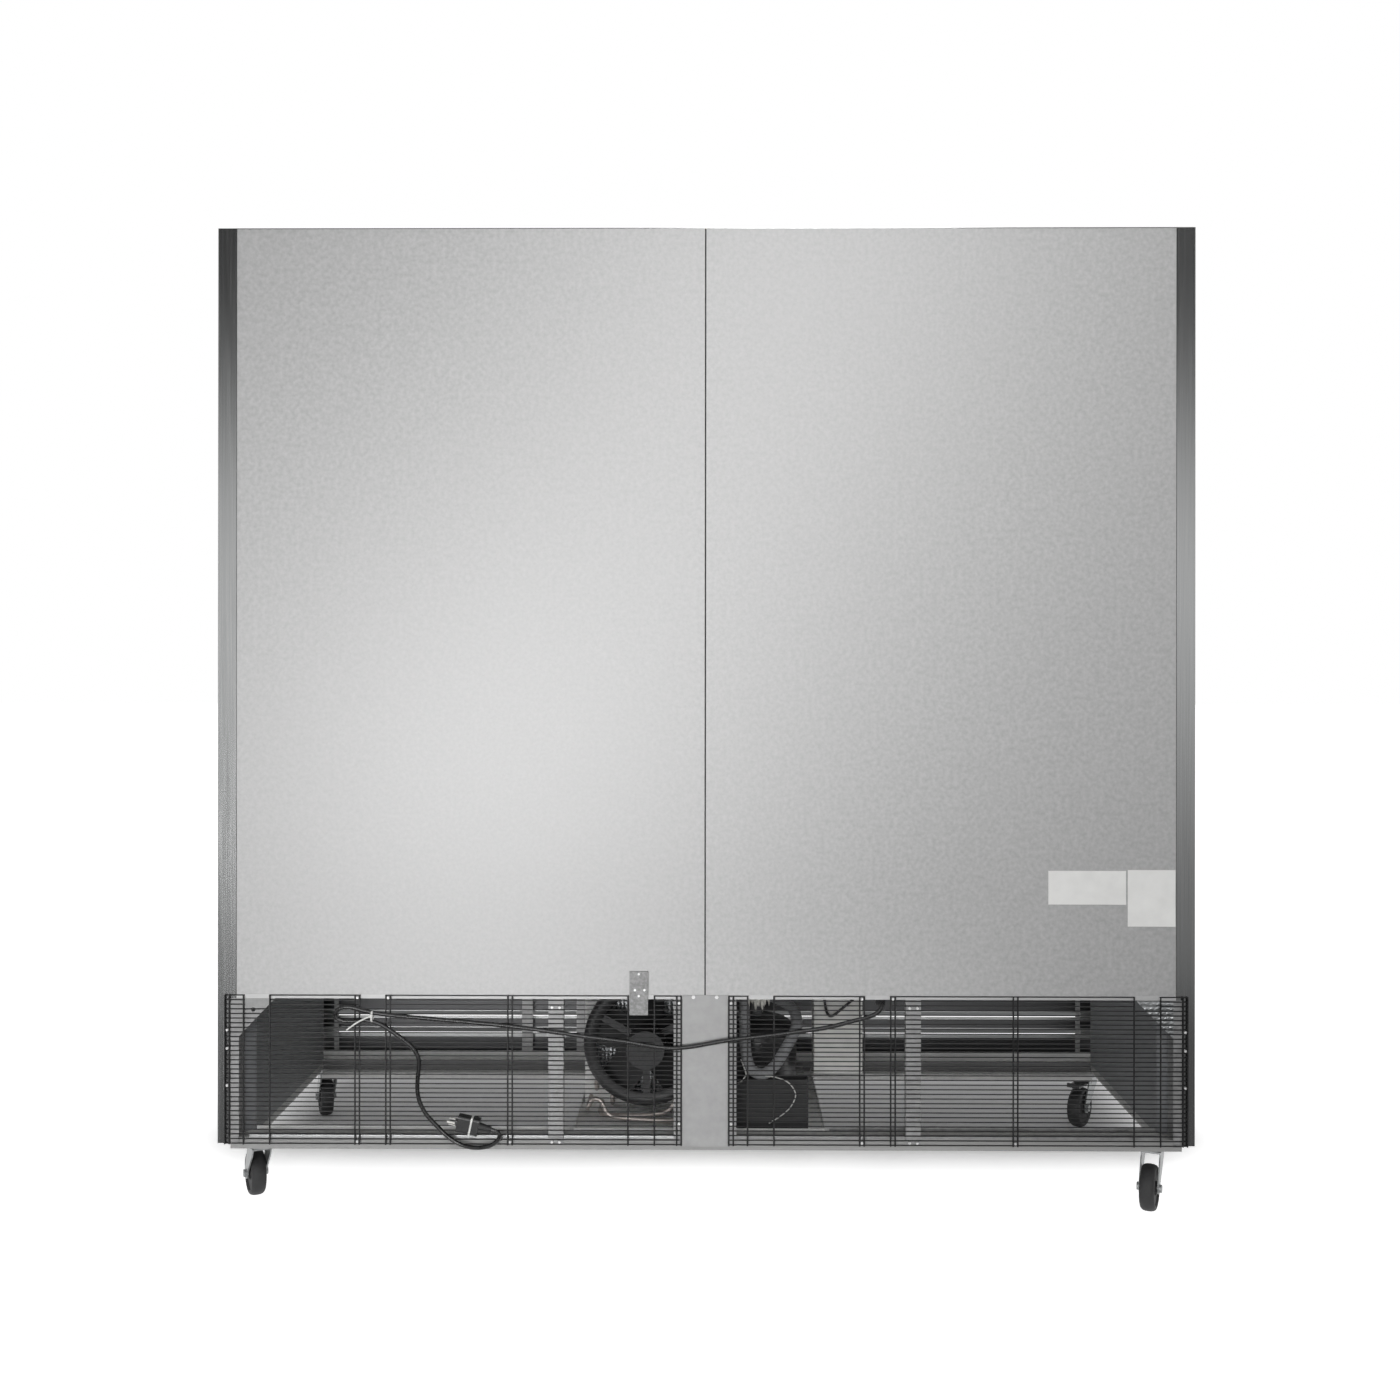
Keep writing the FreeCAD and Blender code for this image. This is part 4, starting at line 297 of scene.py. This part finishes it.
DRESS = [
    (brushed_stainless, ["side_panel_left", "side_panel_right", "top_panel"]),
    (door_stainless, ["door_left", "door_middle", "door_right"]),
    (brushed_trim, ["face_frame", "hinge_brackets"]),
    (grille_steel, ["front_grille"]),
    (galvanised_sheet, ["back_panel_left", "back_panel_right", "bottom_panel"]),
    (galvanised_section, ["corner_posts", "centre_post", "struts", "shelf_supports"]),
    (dusty_zinc, ["base_frame"]),
    (painted_light_zinc, ["slide_tray"]),
    (spangled_zinc, ["hanger_strip"]),
    (white_zinc, ["screws"]),
    (shroud_steel, ["fan_shroud"]),
    (smooth_zinc_plate, ["centre_plate"]),
    (dark_baked_paint, ["inner_sides"]),
    (pale_enamel, ["control_box"]),
    (black_epoxy, ["guard_left", "guard_right"]),
    (
        clouded_zinc,
        ["caster_plates", "fork_front_left", "fork_front_right", "fork_rear_left", "fork_rear_right"],
    ),
    (black_enamel, ["compressor"]),
    (dusty_enamel, ["fan_motor"]),
    (mill_aluminium, ["condenser"]),
    (dulled_copper, ["copper_lines"]),
    (nitrile_foam, ["suction_tube"]),
    (plug_pvc, ["plug"]),
    (moulded_abs, ["gland", "drain_pan", "evaporator_fan", "fan_blade"]),
    (tyre_rubber, ["wheel_front_left", "wheel_front_right", "wheel_rear_left", "wheel_rear_right"]),
    (pedal_paint, ["brake_front_left", "brake_front_right"]),
    (gasket_vinyl, ["door_left_gasket", "door_middle_gasket", "door_right_gasket"]),
    (shelf_epoxy, ["shelf_row_1", "shelf_row_2", "shelf_row_3"]),
    (embossed_aluminium, ["liner", "evaporator_cover"]),
    (formed_liner, ["door_left_inner", "door_middle_inner", "door_right_inner"]),
    (poured_foam, ["insulation"]),
    (cord_pvc, ["cord"]),
]
for paint, names in DRESS:
    for name in names:
        frame["nodes"][name].material_slots[0].material = paint


# Shapes


def settle(name, data, paint, body="cabinet"):
    """Links a piece that rides on a body."""
    data.materials.append(paint)
    piece = bpy.data.objects.new(name, data)
    bpy.context.scene.collection.objects.link(piece)
    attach(piece, body)
    return piece


def shell(name, points, paint, body="cabinet"):
    """A closed smooth skin over rings of points in millimetres.

    Each ring joins up, and the first and the last ring are points, or the same ring.
    """
    rings, around = points.shape[:2]
    index = np.arange(rings * around).reshape(rings, around)
    index = np.hstack([index, index[:, :1]])
    faces = np.stack([index[:-1, :-1], index[:-1, 1:], index[1:, 1:], index[1:, :-1]], axis=-1)
    mesh = bpy.data.meshes.new(name)
    mesh.from_pydata((points.reshape(-1, 3) * MM).tolist(), [], faces.reshape(-1, 4).tolist())
    work = bmesh.new()
    work.from_mesh(mesh)
    bmesh.ops.remove_doubles(work, verts=work.verts, dist=1e-6)
    bmesh.ops.recalc_face_normals(work, faces=work.faces)
    work.to_mesh(mesh)
    work.free()
    mesh.shade_smooth()
    mesh.set_sharp_from_angle(angle=math.radians(40))
    return settle(name, mesh, paint, body)


def through(points, count):
    """Points on the curve through the given ones: each is the Catmull-Rom mean of the four nearest."""
    points = np.array(points, float)
    knots = np.vstack([2 * points[0] - points[1], points, 2 * points[-1] - points[-2]])
    place = np.linspace(0, len(points) - 1, count)
    span = np.minimum(place.astype(int), len(points) - 2)
    t = (place - span)[:, None]
    outer = [-t + 2 * t**2 - t**3, t**3 - t**2]
    inner = [2 - 5 * t**2 + 3 * t**3, t + 4 * t**2 - 3 * t**3]
    weights = np.hstack([outer[0], *inner, outer[1]]) / 2
    return (weights[..., None] * knots[span[:, None] + np.arange(4)]).sum(axis=1)


def oval(wide, high, count, squared=2.0):
    """A ring of points: cosine and sine raised to 2 / squared, so that a higher number squares the oval."""
    angle = np.linspace(0, 2 * np.pi, count, endpoint=False)
    ring = np.stack([np.cos(angle), np.sin(angle)], axis=-1)
    return np.sign(ring) * np.abs(ring) ** (2 / squared) * np.array([wide, high]) / 2


def carry(path, ring, level, loop=False):
    """A ring carried along a path, across its direction and kept square to a level axis.

    A loop joins its last ring to its first, and any other path closes at both ends.
    """
    path = np.array(path, float)
    ahead = np.roll(path, -1, axis=0) - np.roll(path, 1, axis=0) if loop else np.gradient(path, axis=0)
    side = np.cross(ahead, level)
    side /= np.linalg.norm(side, axis=1, keepdims=True)
    over = np.cross(side, ahead)
    over /= np.linalg.norm(over, axis=1, keepdims=True)
    rings = path[:, None] + ring[None, :, :1] * side[:, None] + ring[None, :, 1:] * over[:, None]
    if loop:
        return np.concatenate([rings, rings[:1]])
    ends = np.repeat(path[[0, -1]][:, None], len(ring), axis=1)
    return np.concatenate([ends[:1], rings, ends[1:]])


def laid(face, thick):
    """A thin sheet as rings: each row of the outer face, then the same row moved in by the thickness."""
    inner = face[:, ::-1] - np.array([0, thick, 0])
    rings = np.concatenate([face, inner], axis=1)
    middle = rings[[0, -1]].mean(axis=1, keepdims=True)
    ends = np.repeat(middle, rings.shape[1], axis=1)
    return np.concatenate([ends[:1], rings, ends[1:]])


UP, ACROSS, REARWARD = (0, 0, 1), (1, 0, 0), (0, 1, 0)


def plank(thick, breadth, edge=0.3):
    """A ring of eight points: a rectangle with its corners cut off."""
    side, end = thick / 2, breadth / 2
    quarter = np.array([(side, end - edge), (side - edge, end)])
    return np.concatenate(
        [quarter, quarter[::-1] * (-1, 1), quarter * (-1, -1), quarter[::-1] * (1, -1)]
    )


def rolled_lip(name, ends, start, rise, radius, run, paint):
    """A sheet edge turned over: a plank as long as the rail, carried up, round a quarter turn and on."""
    y, z = start
    turn = np.linspace(0, np.pi / 2, 9)
    bend = np.stack([y - radius + radius * np.cos(turn), z + rise + radius * np.sin(turn)], axis=-1)
    profile = np.vstack([[start], [(y, z + rise * 0.5)], bend, [(y - radius - run, z + rise + radius)]])
    path = np.column_stack([np.full(len(profile), sum(ends) / 2), profile])
    shell(name, carry(path, plank(2.0, abs(ends[1] - ends[0])), ACROSS), paint)


def rail_foot(name, ends):
    """The front rail's foot flange: a plank carried rearwards, round a quarter turn and then down."""
    turn = np.linspace(0, np.pi / 2, 9)
    reach, radius, drop = 26.0, 2.5, 12.0
    bend = np.stack([reach + radius * np.sin(turn), radius * (np.cos(turn) - 1)], axis=-1)
    foot = [(reach + radius, -radius - drop / 2), (reach + radius, -radius - drop)]
    profile = np.vstack([[(0, 0)], [(reach / 2, 0)], bend, foot]) + (FRONT_RAIL_REAR, FRONT_RAIL_FLOOR)
    path = np.column_stack([np.full(len(profile), sum(ends) / 2), profile])
    shell(name, carry(path, plank(2.0, abs(ends[1] - ends[0])), ACROSS), dusty_zinc)


def wall_return(name, side):
    """The inner wall's rear flange: a sheet whose plan eases across to the corner post as a smooth step."""
    way = np.linspace(0, 1, 25)
    shift, reach, play = 18.9, 22.8, 0.4
    across = INNER_WALL + shift * way**2 * (3 - 2 * way)
    middle = (RAIL_TOP + CABINET_FLOOR) / 2
    path = np.stack([side * across, INNER_WALL_REAR + reach * way, np.full(25, middle)], axis=-1)
    shell(name, carry(path, plank(1.0, CABINET_FLOOR - RAIL_TOP - play), UP), dark_baked_paint)


def mastic_joint(name, middle, width):
    """A bead in an upright joint: an oval carried from the panels' foot to their head."""
    depth = SHEET_FACE - 1.1
    path = [(middle, depth, CABINET_FLOOR + 1), (middle, depth, CABINET_TOP - 1)]
    shell(name, carry(path, oval(width, 1.2, 12), REARWARD), black_mastic)


def blank_label(name, left, right, top, foot, curl):
    """A bare label on the sheet: a flat grid whose lower corner lifts with the square of the way to it."""
    across, down = np.meshgrid(np.linspace(0, 1, 25), np.linspace(0, 1, 21))
    lift = curl * np.clip((across + down - 1.6) / 0.4, 0, 1) ** 2
    face = np.stack(
        [left + (right - left) * across, SHEET_FACE + 0.2 + lift, top + (foot - top) * down], axis=-1
    )
    shell(name, laid(face, 0.18), label_paper)


def foil_on_gusset():
    """Foil pressed over the gusset: a triangle of folded ridges.

    Each ridge is the absolute sine of a slanted way over the foil. The ridges fade to nothing at every wire
    of the guard, so that the foil swells between the wires.
    """
    across, down = np.meshgrid(np.linspace(0, 1, 70), np.linspace(0, 1, 90))
    corner, run, drop, swell = -983, 78, 76, 1.8
    x = corner + run * across * (1 - 0.96 * down)
    z = CABINET_FLOOR - 1 - drop * down
    turns = np.array([0.4, 1.3, 2.2, 2.9, 0.9])
    waves = np.array([13.0, 17.0, 10.0, 22.0, 7.0])
    way = x[..., None] * np.cos(turns) + z[..., None] * np.sin(turns)
    ridge = np.abs(np.sin(way * np.pi / waves + turns * 5)).prod(axis=-1) ** 0.35
    clear = np.sin(np.pi * (TOP_WIRE - z) / WIRE_STEP) ** 2
    face = np.stack([x, POST_FACE + 0.15 + swell * ridge * clear, z], axis=-1)
    shell("gusset_foil", laid(face, 0.1), crumpled_foil)


def torn_collar():
    """Sealing foam where the suction tube enters: ovals along x whose lower edge is a sum of sines."""
    along, around = np.linspace(0, 1, 60), 28
    start, run, depth, thick = -92, 46, 343, 17
    x = start - run * along
    ragged = 7 * np.sin(along * 19 + 1) + 5 * np.sin(along * 41) + 3 * np.sin(along * 83 + 2)
    low = CABINET_FLOOR - 30 - ragged + 14 * (2 * along - 1) ** 2
    ring = oval(1, 1, around, 2.6)
    lump = 1 + 0.16 * np.sin(along[:, None] * 37 + np.arange(around)[None] * 1.7)
    y = depth + thick * ring[None, :, 0] * lump
    z = (CABINET_FLOOR + low[:, None]) / 2 + (CABINET_FLOOR - low[:, None]) * ring[None, :, 1]
    rings = np.stack([np.repeat(x[:, None], around, axis=1), y, np.minimum(z, CABINET_FLOOR)], axis=-1)
    ends = np.repeat(rings[[0, -1]].mean(axis=1, keepdims=True), around, axis=1)
    shell("torn_sealing_foam", np.concatenate([ends[:1], rings, ends[1:]]), torn_foam)


def strain_relief():
    """A tapered sleeve round the cord: its radius falls along the way, and a cosine cuts five grooves."""
    along = np.linspace(0, 1, 61)
    angle = np.linspace(0, 2 * np.pi, 32, endpoint=False)
    grooves = np.clip(np.cos(along * 10 * np.pi) * 3 - 1.4, 0, 1)
    radius = 8.2 - 2.9 * along - 0.9 * grooves
    length, sag = 24, 1.4
    way = GLAND + np.stack([0 * along, length * along, -sag * along**2], axis=-1)
    turn = np.stack([np.cos(angle), 0 * angle, np.sin(angle)], axis=-1)
    rings = way[:, None] + radius[:, None, None] * turn[None]
    ends = np.repeat(way[[0, -1]][:, None], 32, axis=1)
    sleeve = np.concatenate([ends[:1], rings, ends[1:]])
    return shell("cord_strain_relief", sleeve, moulded_abs)


def cord_tie():
    """A nylon tie: a band round two runs of the cord, its square head, and a tail that bows as a parabola."""
    angle = np.linspace(0, 2 * np.pi, 40, endpoint=False)
    middle = np.array([698, FLANGE_FACE + 18, 424])
    loop = middle + np.stack([0 * angle, 9.6 * np.cos(angle), 11.2 * np.sin(angle)], axis=-1)
    strap = carry(loop, oval(1.3, 4.2, 12, 5.0), ACROSS, True)
    hoop = shell("cord_tie_band", strap, tie_nylon)
    seat = middle + np.array([0, 10.2, 3])
    head = [seat + np.array([0, 0, step]) for step in (-3.2, 3.2)]
    block = shell("cord_tie_head", carry(head, oval(6.4, 5.4, 24, 5.0), REARWARD), tie_nylon)
    way = np.linspace(0, 1, 24)[:, None]
    tail = seat + way * np.array([52, -1, -30]) + way * (1 - way) * np.array([0, 3, 14])
    strip = shell("cord_tie_tail", carry(tail, oval(3.2, 1.1, 12, 5.0), REARWARD), tie_nylon)
    return [hoop, block, strip]


def plug_tie():
    """A nylon tie left round the plug: a flat band carried round a squared oval across the plug's axis."""
    ahead = np.array([14.0, 0, 3.0]) / math.hypot(14, 3)
    across = np.cross(ahead, REARWARD)
    middle = np.array(PLUG_HEEL) + 43 * ahead
    ring = oval(37.4, 28.2, 64, 5.0)
    loop = middle + ring[:, :1] * across + ring[:, 1:] * np.array(REARWARD)
    return shell("plug_tie", carry(loop, oval(1.0, 4.0, 12, 5.0), ahead, True), tie_nylon)


def fan_bell():
    """A rounded lip over the cowl's rim: the section of a rolled sheet carried once round the fan's axis."""
    outside = [(14.5, -20), (14.5, -8), (13.2, 0.5), (10, 4.9), (4, 7.2), (-3, 7.2), (-11, 4.9), (-15, 2.8)]
    inside = [
        (11.4, -20),
        (11.4, -8),
        (11.2, -1),
        (10.8, 1.6),
        (8.5, 3.6),
        (4, 5.2),
        (-3, 5.2),
        (-11, 3.4),
        (-14.8, 2),
    ]
    section = np.vstack([through(outside, 28), through(inside, 28)[::-1]])
    angle = np.linspace(0, -2 * np.pi, 96, endpoint=False)
    x, z = FAN_AXIS
    radius, lift = 127, 2.6
    level = COWL_REAR + lift + 0 * angle
    rim = np.stack([x + radius * np.cos(angle), level, z + radius * np.sin(angle)], axis=-1)
    shell("fan_bell", carry(rim, section, REARWARD, True), shroud_steel)


def tyred_wheel(corner):
    """A caster wheel: a tyre with a squared oval section, a dished web and a hub, turned round the axle."""
    roll = next(joint for joint in frame["joints"] if joint["name"] == f"{corner}_roll")
    axle, middle = np.array(roll["axis"]), np.array(roll["pos_m"]) / MM
    half = np.linspace(-np.pi / 2, np.pi / 2, 25)
    squared = np.abs([np.cos(half), np.sin(half)]) ** 0.8
    shoulder, crown, width, pitch = 40, 9, 32, 25
    tread = np.stack([shoulder + crown * squared[0], width / 2 * np.sign(half) * squared[1]], axis=-1)
    side = np.array([(38.6, 15.0), (37, 11.5), (17, 11.5), (15, 12.5), (14.5, 15.6), (5.2, 15.6)])
    section = np.vstack([side[::-1] * (1, -1), tread, side])
    angle = np.linspace(0, 2 * np.pi, 64, endpoint=False)[:, None]
    circle = middle + pitch * (np.cos(angle) * np.array(UP) + np.sin(angle) * np.cross(axle, UP))
    rings = carry(circle, section - (pitch, 0), axle, True)
    made = shell(f"tyre_{corner}", rings, tyre_rubber, roll["child"])
    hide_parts(f"wheel_{corner}")


def flex(name, route, thick, paint):
    """A round cord on one smooth spline whose control points are the route's, in millimetres."""
    line = bpy.data.curves.new(name, "CURVE")
    line.dimensions = "3D"
    line.bevel_depth = thick / 2 * MM
    line.bevel_resolution = 4
    line.resolution_u = 8
    line.use_fill_caps = True
    spline = line.splines.new("NURBS")
    spline.points.add(len(route) - 1)
    places = np.hstack([np.array(route) * MM, np.ones((len(route), 1))])
    spline.points.foreach_set("co", places.ravel())
    spline.order_u = 3
    spline.use_endpoint_u = True
    return settle(name, line, paint)


# The lips over the bay at negative x take the darker section finish as painted shade; the inner lip at
# positive x takes the near-white zinc as painted light.
INNER_LIPS = [((290, RAIL_END), painted_light_zinc), ((-266, -RAIL_END), galvanised_section)]
OUTER_LIPS = [
    ((331, RAIL_END), rolled_zinc),
    ((32, 297), rolled_zinc),
    ((-32, -421), galvanised_section),
    ((-455, -RAIL_END), galvanised_section),
]
for index, (ends, paint) in enumerate(INNER_LIPS, start=1):
    rolled_lip(f"rail_lip_inner_{index}", ends, (RAIL_FRONT_WALL, RAIL_TOP), 5.0, 3.0, 2.0, paint)
for index, (ends, paint) in enumerate(OUTER_LIPS, start=1):
    rolled_lip(f"rail_lip_outer_{index}", ends, (RAIL_REAR_WALL, RAIL_TOP), 5.0, 2.0, 3.0, paint)
rail_foot("rail_foot_right", (266, RAIL_END))
rail_foot("rail_foot_left", (-242, -RAIL_END))
wall_return("wall_return_right", 1)
wall_return("wall_return_left", -1)
mastic_joint("joint_middle", 0.0, 3.0)
mastic_joint("joint_right", FLANGE_INNER, 0.7)
mastic_joint("joint_left", -FLANGE_INNER, 0.7)
blank_label("blank_label_wide", -721.0, -884.0, 730.0, 659.0, 1.2)
blank_label("blank_label_tall", -887.5, -987.5, 732.0, 613.0, 0.8)
foil_on_gusset()
torn_collar()
fan_bell()
for corner in ("front_left", "front_right", "rear_left", "rear_right"):
    tyred_wheel(corner)

pipe = oval(2.6, 2.6, 14)
long_way = through(
    [
        (-128, 353, 283),
        (-150, 356, 281),
        (-178, 350, 268),
        (-194, 342, 241),
        (-184, 336, 212),
        (-162, 330, 190),
        (-144, 322, 176),
        (-138, 314, 170),
    ],
    90,
)
shell("capillary_long", carry(long_way, pipe, REARWARD), pale_sleeve)
short_way = through(
    [
        (-76, 352, 318),
        (-84, 356, 300),
        (-87, 352, 284),
        (-76, 330, 264),
        (-62, 280, 248),
        (-54, 238, 238),
    ],
    70,
)
shell("capillary_short", carry(short_way, pipe, REARWARD), pale_sleeve)

# Cords

CORD_ROUTE = np.array([
    (-372, -26, 449),
    (-372, -6, 449),
    (-371, 8, 446),
    (-366, 15, 437),
    (-347, 16, 426),
    (-304, 15, 415),
    (-258, 14, 402),
    (-200, 13, 394),
    (-128, 13, 384),
    (-44, 13, 375),
    (22, 13, 362),
    (66, 13, 357),
    (110, 13, 361),
    (168, 13, 372),
    (240, 13, 380),
    (307, 13, 390),
    (395, 13, 402),
    (498, 13, 412),
    (598, 13, 420),
    (672, 14, 427),
    (716, 18, 435),
    (744, 21, 445),
    (766, 22, 443),
    (777, 22, 430),
    (768, 21, 416),
    (744, 19, 413),
    (706, 18, 417),
    (676, 15, 405),
    (643, 14, 382),
    (612, 13, 358),
    (598, 13, 330),
    (604, 13, 290),
    (604, 13, 256),
    (590, 13, 222),
    (562, 13, 192),
    (535, 14, 167),
    (509, 16, 153),
    (480, 20, 149),
    (454, 23, 153),
    (437, 24, 162),
    (428, 24, 174),
    (433, 24, 186),
    (447, 24, 189),
])
route = CORD_ROUTE + np.array([0, FLANGE_FACE, 0])
supply_cord = flex("supply_cord", route, 9.0, cord_pvc)
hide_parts("cord")
strain_relief()
cord_tie()
plug_tie()

CONTROL_LEAD = np.array([
    (-262, 214, 458),
    (-262, 216, 440),
    (-265, 218, 412),
    (-269, 218, 388),
    (-279, 218, 378),
    (-293, 217, 388),
    (-314, 215, 405),
    (-330, 213, 418),
    (-336, 207, 421),
])
control_lead = flex("control_lead", CONTROL_LEAD, 6.0, cord_pvc)

# Studio

scene = bpy.context.scene
scene.view_settings.view_transform = "Standard"

# The patch of floor where the white glow is held back, a painted shadow over the real one, in metres
SHADE_MIDDLE = (0, -0.40, 0)
SHADE_HALF = (0.97, 0.2, 0)
SHADE_FADE = 0.4

floor_mesh = bpy.data.meshes.new("paper_floor")
reach = 40.0
corners = [(-reach, -reach, 0), (reach, -reach, 0), (reach, reach, 0), (-reach, reach, 0)]
floor_mesh.from_pydata(corners, [], [(0, 1, 2, 3)])
floor = bpy.data.objects.new("paper_floor", floor_mesh)
scene.collection.objects.link(floor)


def seen_directly(tree):
    """One for a ray from the camera, a mirror or a glass, and zero for light that scatters."""
    ray = add(tree, "ShaderNodeLightPath")
    either = add(
        tree,
        "ShaderNodeMath",
        {0: ray.outputs["Is Camera Ray"], 1: ray.outputs["Is Glossy Ray"]},
        operation="MAXIMUM",
    )
    return add(
        tree,
        "ShaderNodeMath",
        {0: either.outputs[0], 1: ray.outputs["Is Transmission Ray"]},
        operation="MAXIMUM",
    ).outputs[0]


# White studio paper: it takes the real shadow, and what is seen of it outside the painted shadow's patch is
# lifted to pure white.
paper = bpy.data.materials.new("studio_paper")
paper.use_nodes = True
tree = paper.node_tree
tree.nodes.remove(tree.nodes["Principled BSDF"])
matt = add(tree, "ShaderNodeBsdfDiffuse", {"Color": linear("#ececec")})
spot = add(tree, "ShaderNodeTexCoord")
moved = add(
    tree,
    "ShaderNodeVectorMath",
    {0: spot.outputs["Object"], 1: SHADE_MIDDLE},
    operation="SUBTRACT",
)
folded = add(tree, "ShaderNodeVectorMath", {0: moved.outputs["Vector"]}, operation="ABSOLUTE")
beyond = add(
    tree,
    "ShaderNodeVectorMath",
    {0: folded.outputs["Vector"], 1: SHADE_HALF},
    operation="SUBTRACT",
)
outside = add(
    tree,
    "ShaderNodeVectorMath",
    {0: beyond.outputs["Vector"], 1: (0, 0, 0)},
    operation="MAXIMUM",
)
away = add(tree, "ShaderNodeVectorMath", {0: outside.outputs["Vector"]}, operation="LENGTH")
lift = add(
    tree,
    "ShaderNodeMapRange",
    {"Value": away.outputs["Value"], "From Min": 0.0, "From Max": SHADE_FADE, "To Min": 0.02, "To Max": 1.0},
    interpolation_type="SMOOTHSTEP",
)
glow = add(
    tree,
    "ShaderNodeMath",
    {0: seen_directly(tree), 1: lift.outputs["Result"]},
    operation="MULTIPLY",
)
lifted = add(tree, "ShaderNodeEmission", {"Strength": glow.outputs[0]})
both = add(tree, "ShaderNodeAddShader", {0: matt.outputs[0], 1: lifted.outputs[0]})
tree.links.new(both.outputs[0], tree.nodes["Material Output"].inputs["Surface"])
floor_mesh.materials.append(paper)

world = bpy.data.worlds.new("white_studio")
scene.world = world
world.use_nodes = True
tree = world.node_tree
soft = tree.nodes["Background"]
soft.inputs["Color"].default_value = (1, 1, 1, 1)
soft.inputs["Strength"].default_value = 0.24
white = add(tree, "ShaderNodeBackground", {"Color": (1, 1, 1, 1), "Strength": 1.0})
chosen = add(
    tree,
    "ShaderNodeMixShader",
    {0: seen_directly(tree), 1: soft.outputs[0], 2: white.outputs[0]},
)
tree.links.new(chosen.outputs[0], tree.nodes["World Output"].inputs["Surface"])


def softbox(name, place, aim, wide, high, lean, power, spread=180):
    """A soft rectangular lamp, turned towards a point and leant about its own axis. Spread is in degrees."""
    lamp = bpy.data.lights.new(name, "AREA")
    lamp.shape = "RECTANGLE"
    lamp.size, lamp.size_y = wide, high
    lamp.energy = power
    lamp.spread = math.radians(spread)
    made = bpy.data.objects.new(name, lamp)
    made.location = place
    turn = Vector(np.subtract(aim, place)).to_track_quat("-Z", "Y")
    made.rotation_mode = "QUATERNION"
    made.rotation_quaternion = turn @ Quaternion((0, 0, 1), lean)
    scene.collection.objects.link(made)


softbox("key_strip", (0.44, 4.7, 1.6), (0.44, 0.4, 1.6), 0.9, 4.2, math.radians(-36), 56)
softbox("key_foot", (1.1, 4.7, 0.35), (0.4, 0.4, 0.6), 0.8, 0.6, 0.0, 36)
softbox("key_head", (-0.5, 4.0, 3.4), (0.0, 0.4, 0.9), 1.2, 0.9, 0.0, 20)
softbox("bay_strip", (0.4, 2.7, 0.12), (0.4, 0.2, 0.14), 2.2, 0.16, 0.0, 0.42, 26)
softbox("front_softbox", (-1.2, -6.0, 1.5), (0, -0.4, 1.4), 5.0, 2.6, 0.0, 36)


def card(name, corners, foot, belt, head):
    """A card that only mirrors see: its glow rises from its foot to a belt at eye height, then falls."""
    mesh = bpy.data.meshes.new(name)
    mesh.from_pydata(corners, [], [(0, 1, 2, 3)])
    wash = bpy.data.materials.new(name)
    wash.use_nodes = True
    tree = wash.node_tree
    tree.nodes.remove(tree.nodes["Principled BSDF"])
    spot = add(tree, "ShaderNodeTexCoord")
    height = add(tree, "ShaderNodeSeparateXYZ", {"Vector": spot.outputs["Object"]})
    rise = add(
        tree,
        "ShaderNodeMapRange",
        {"Value": height.outputs["Z"], "From Min": 0.0, "From Max": 1.7, "To Min": foot, "To Max": belt},
        interpolation_type="SMOOTHSTEP",
    )
    fall = add(
        tree,
        "ShaderNodeMapRange",
        {
            "Value": height.outputs["Z"],
            "From Min": 1.9,
            "From Max": 3.6,
            "To Min": rise.outputs["Result"],
            "To Max": head,
        },
        interpolation_type="SMOOTHSTEP",
    )
    glow = add(tree, "ShaderNodeEmission", {"Strength": fall.outputs["Result"]})
    tree.links.new(glow.outputs[0], tree.nodes["Material Output"].inputs["Surface"])
    mesh.materials.append(wash)
    made = bpy.data.objects.new(name, mesh)
    made.visible_camera = False
    made.visible_diffuse = False
    made.visible_shadow = False
    scene.collection.objects.link(made)


# Half the cards' width, the distances at which they begin and end, and their heights, in metres
ASIDE, NEAR, FAR, WALL = 9, 0.6, 2.6, 7.5
GROUND, HEAD = 0.01, 7


def ground(start, end):
    """The corners of a card that lies on the floor from one distance to another."""
    return [(-ASIDE, start, GROUND), (ASIDE, start, GROUND), (ASIDE, end, GROUND), (-ASIDE, end, GROUND)]


upright = [(-ASIDE, WALL, 0), (ASIDE, WALL, 0), (ASIDE, WALL, HEAD), (-ASIDE, WALL, HEAD)]
card("studio_wall", upright, 0.5, 0.95, 0.05)
card("near_ground", ground(NEAR, FAR), 0.12, 0.12, 0.12)
card("far_ground", ground(FAR, WALL), 0.3, 0.3, 0.3)

# Camera

lens = bpy.data.cameras.new("photo_camera")
lens.lens = 40.17
lens.sensor_width = 36.0
lens.shift_y = -0.0268
camera = bpy.data.objects.new("photo_camera", lens)
camera.location = (-0.0157, 3.6954, 1.167)
camera.rotation_euler = (math.pi / 2, -0.0009, math.pi + 0.0082)
scene.collection.objects.link(camera)
scene.camera = camera
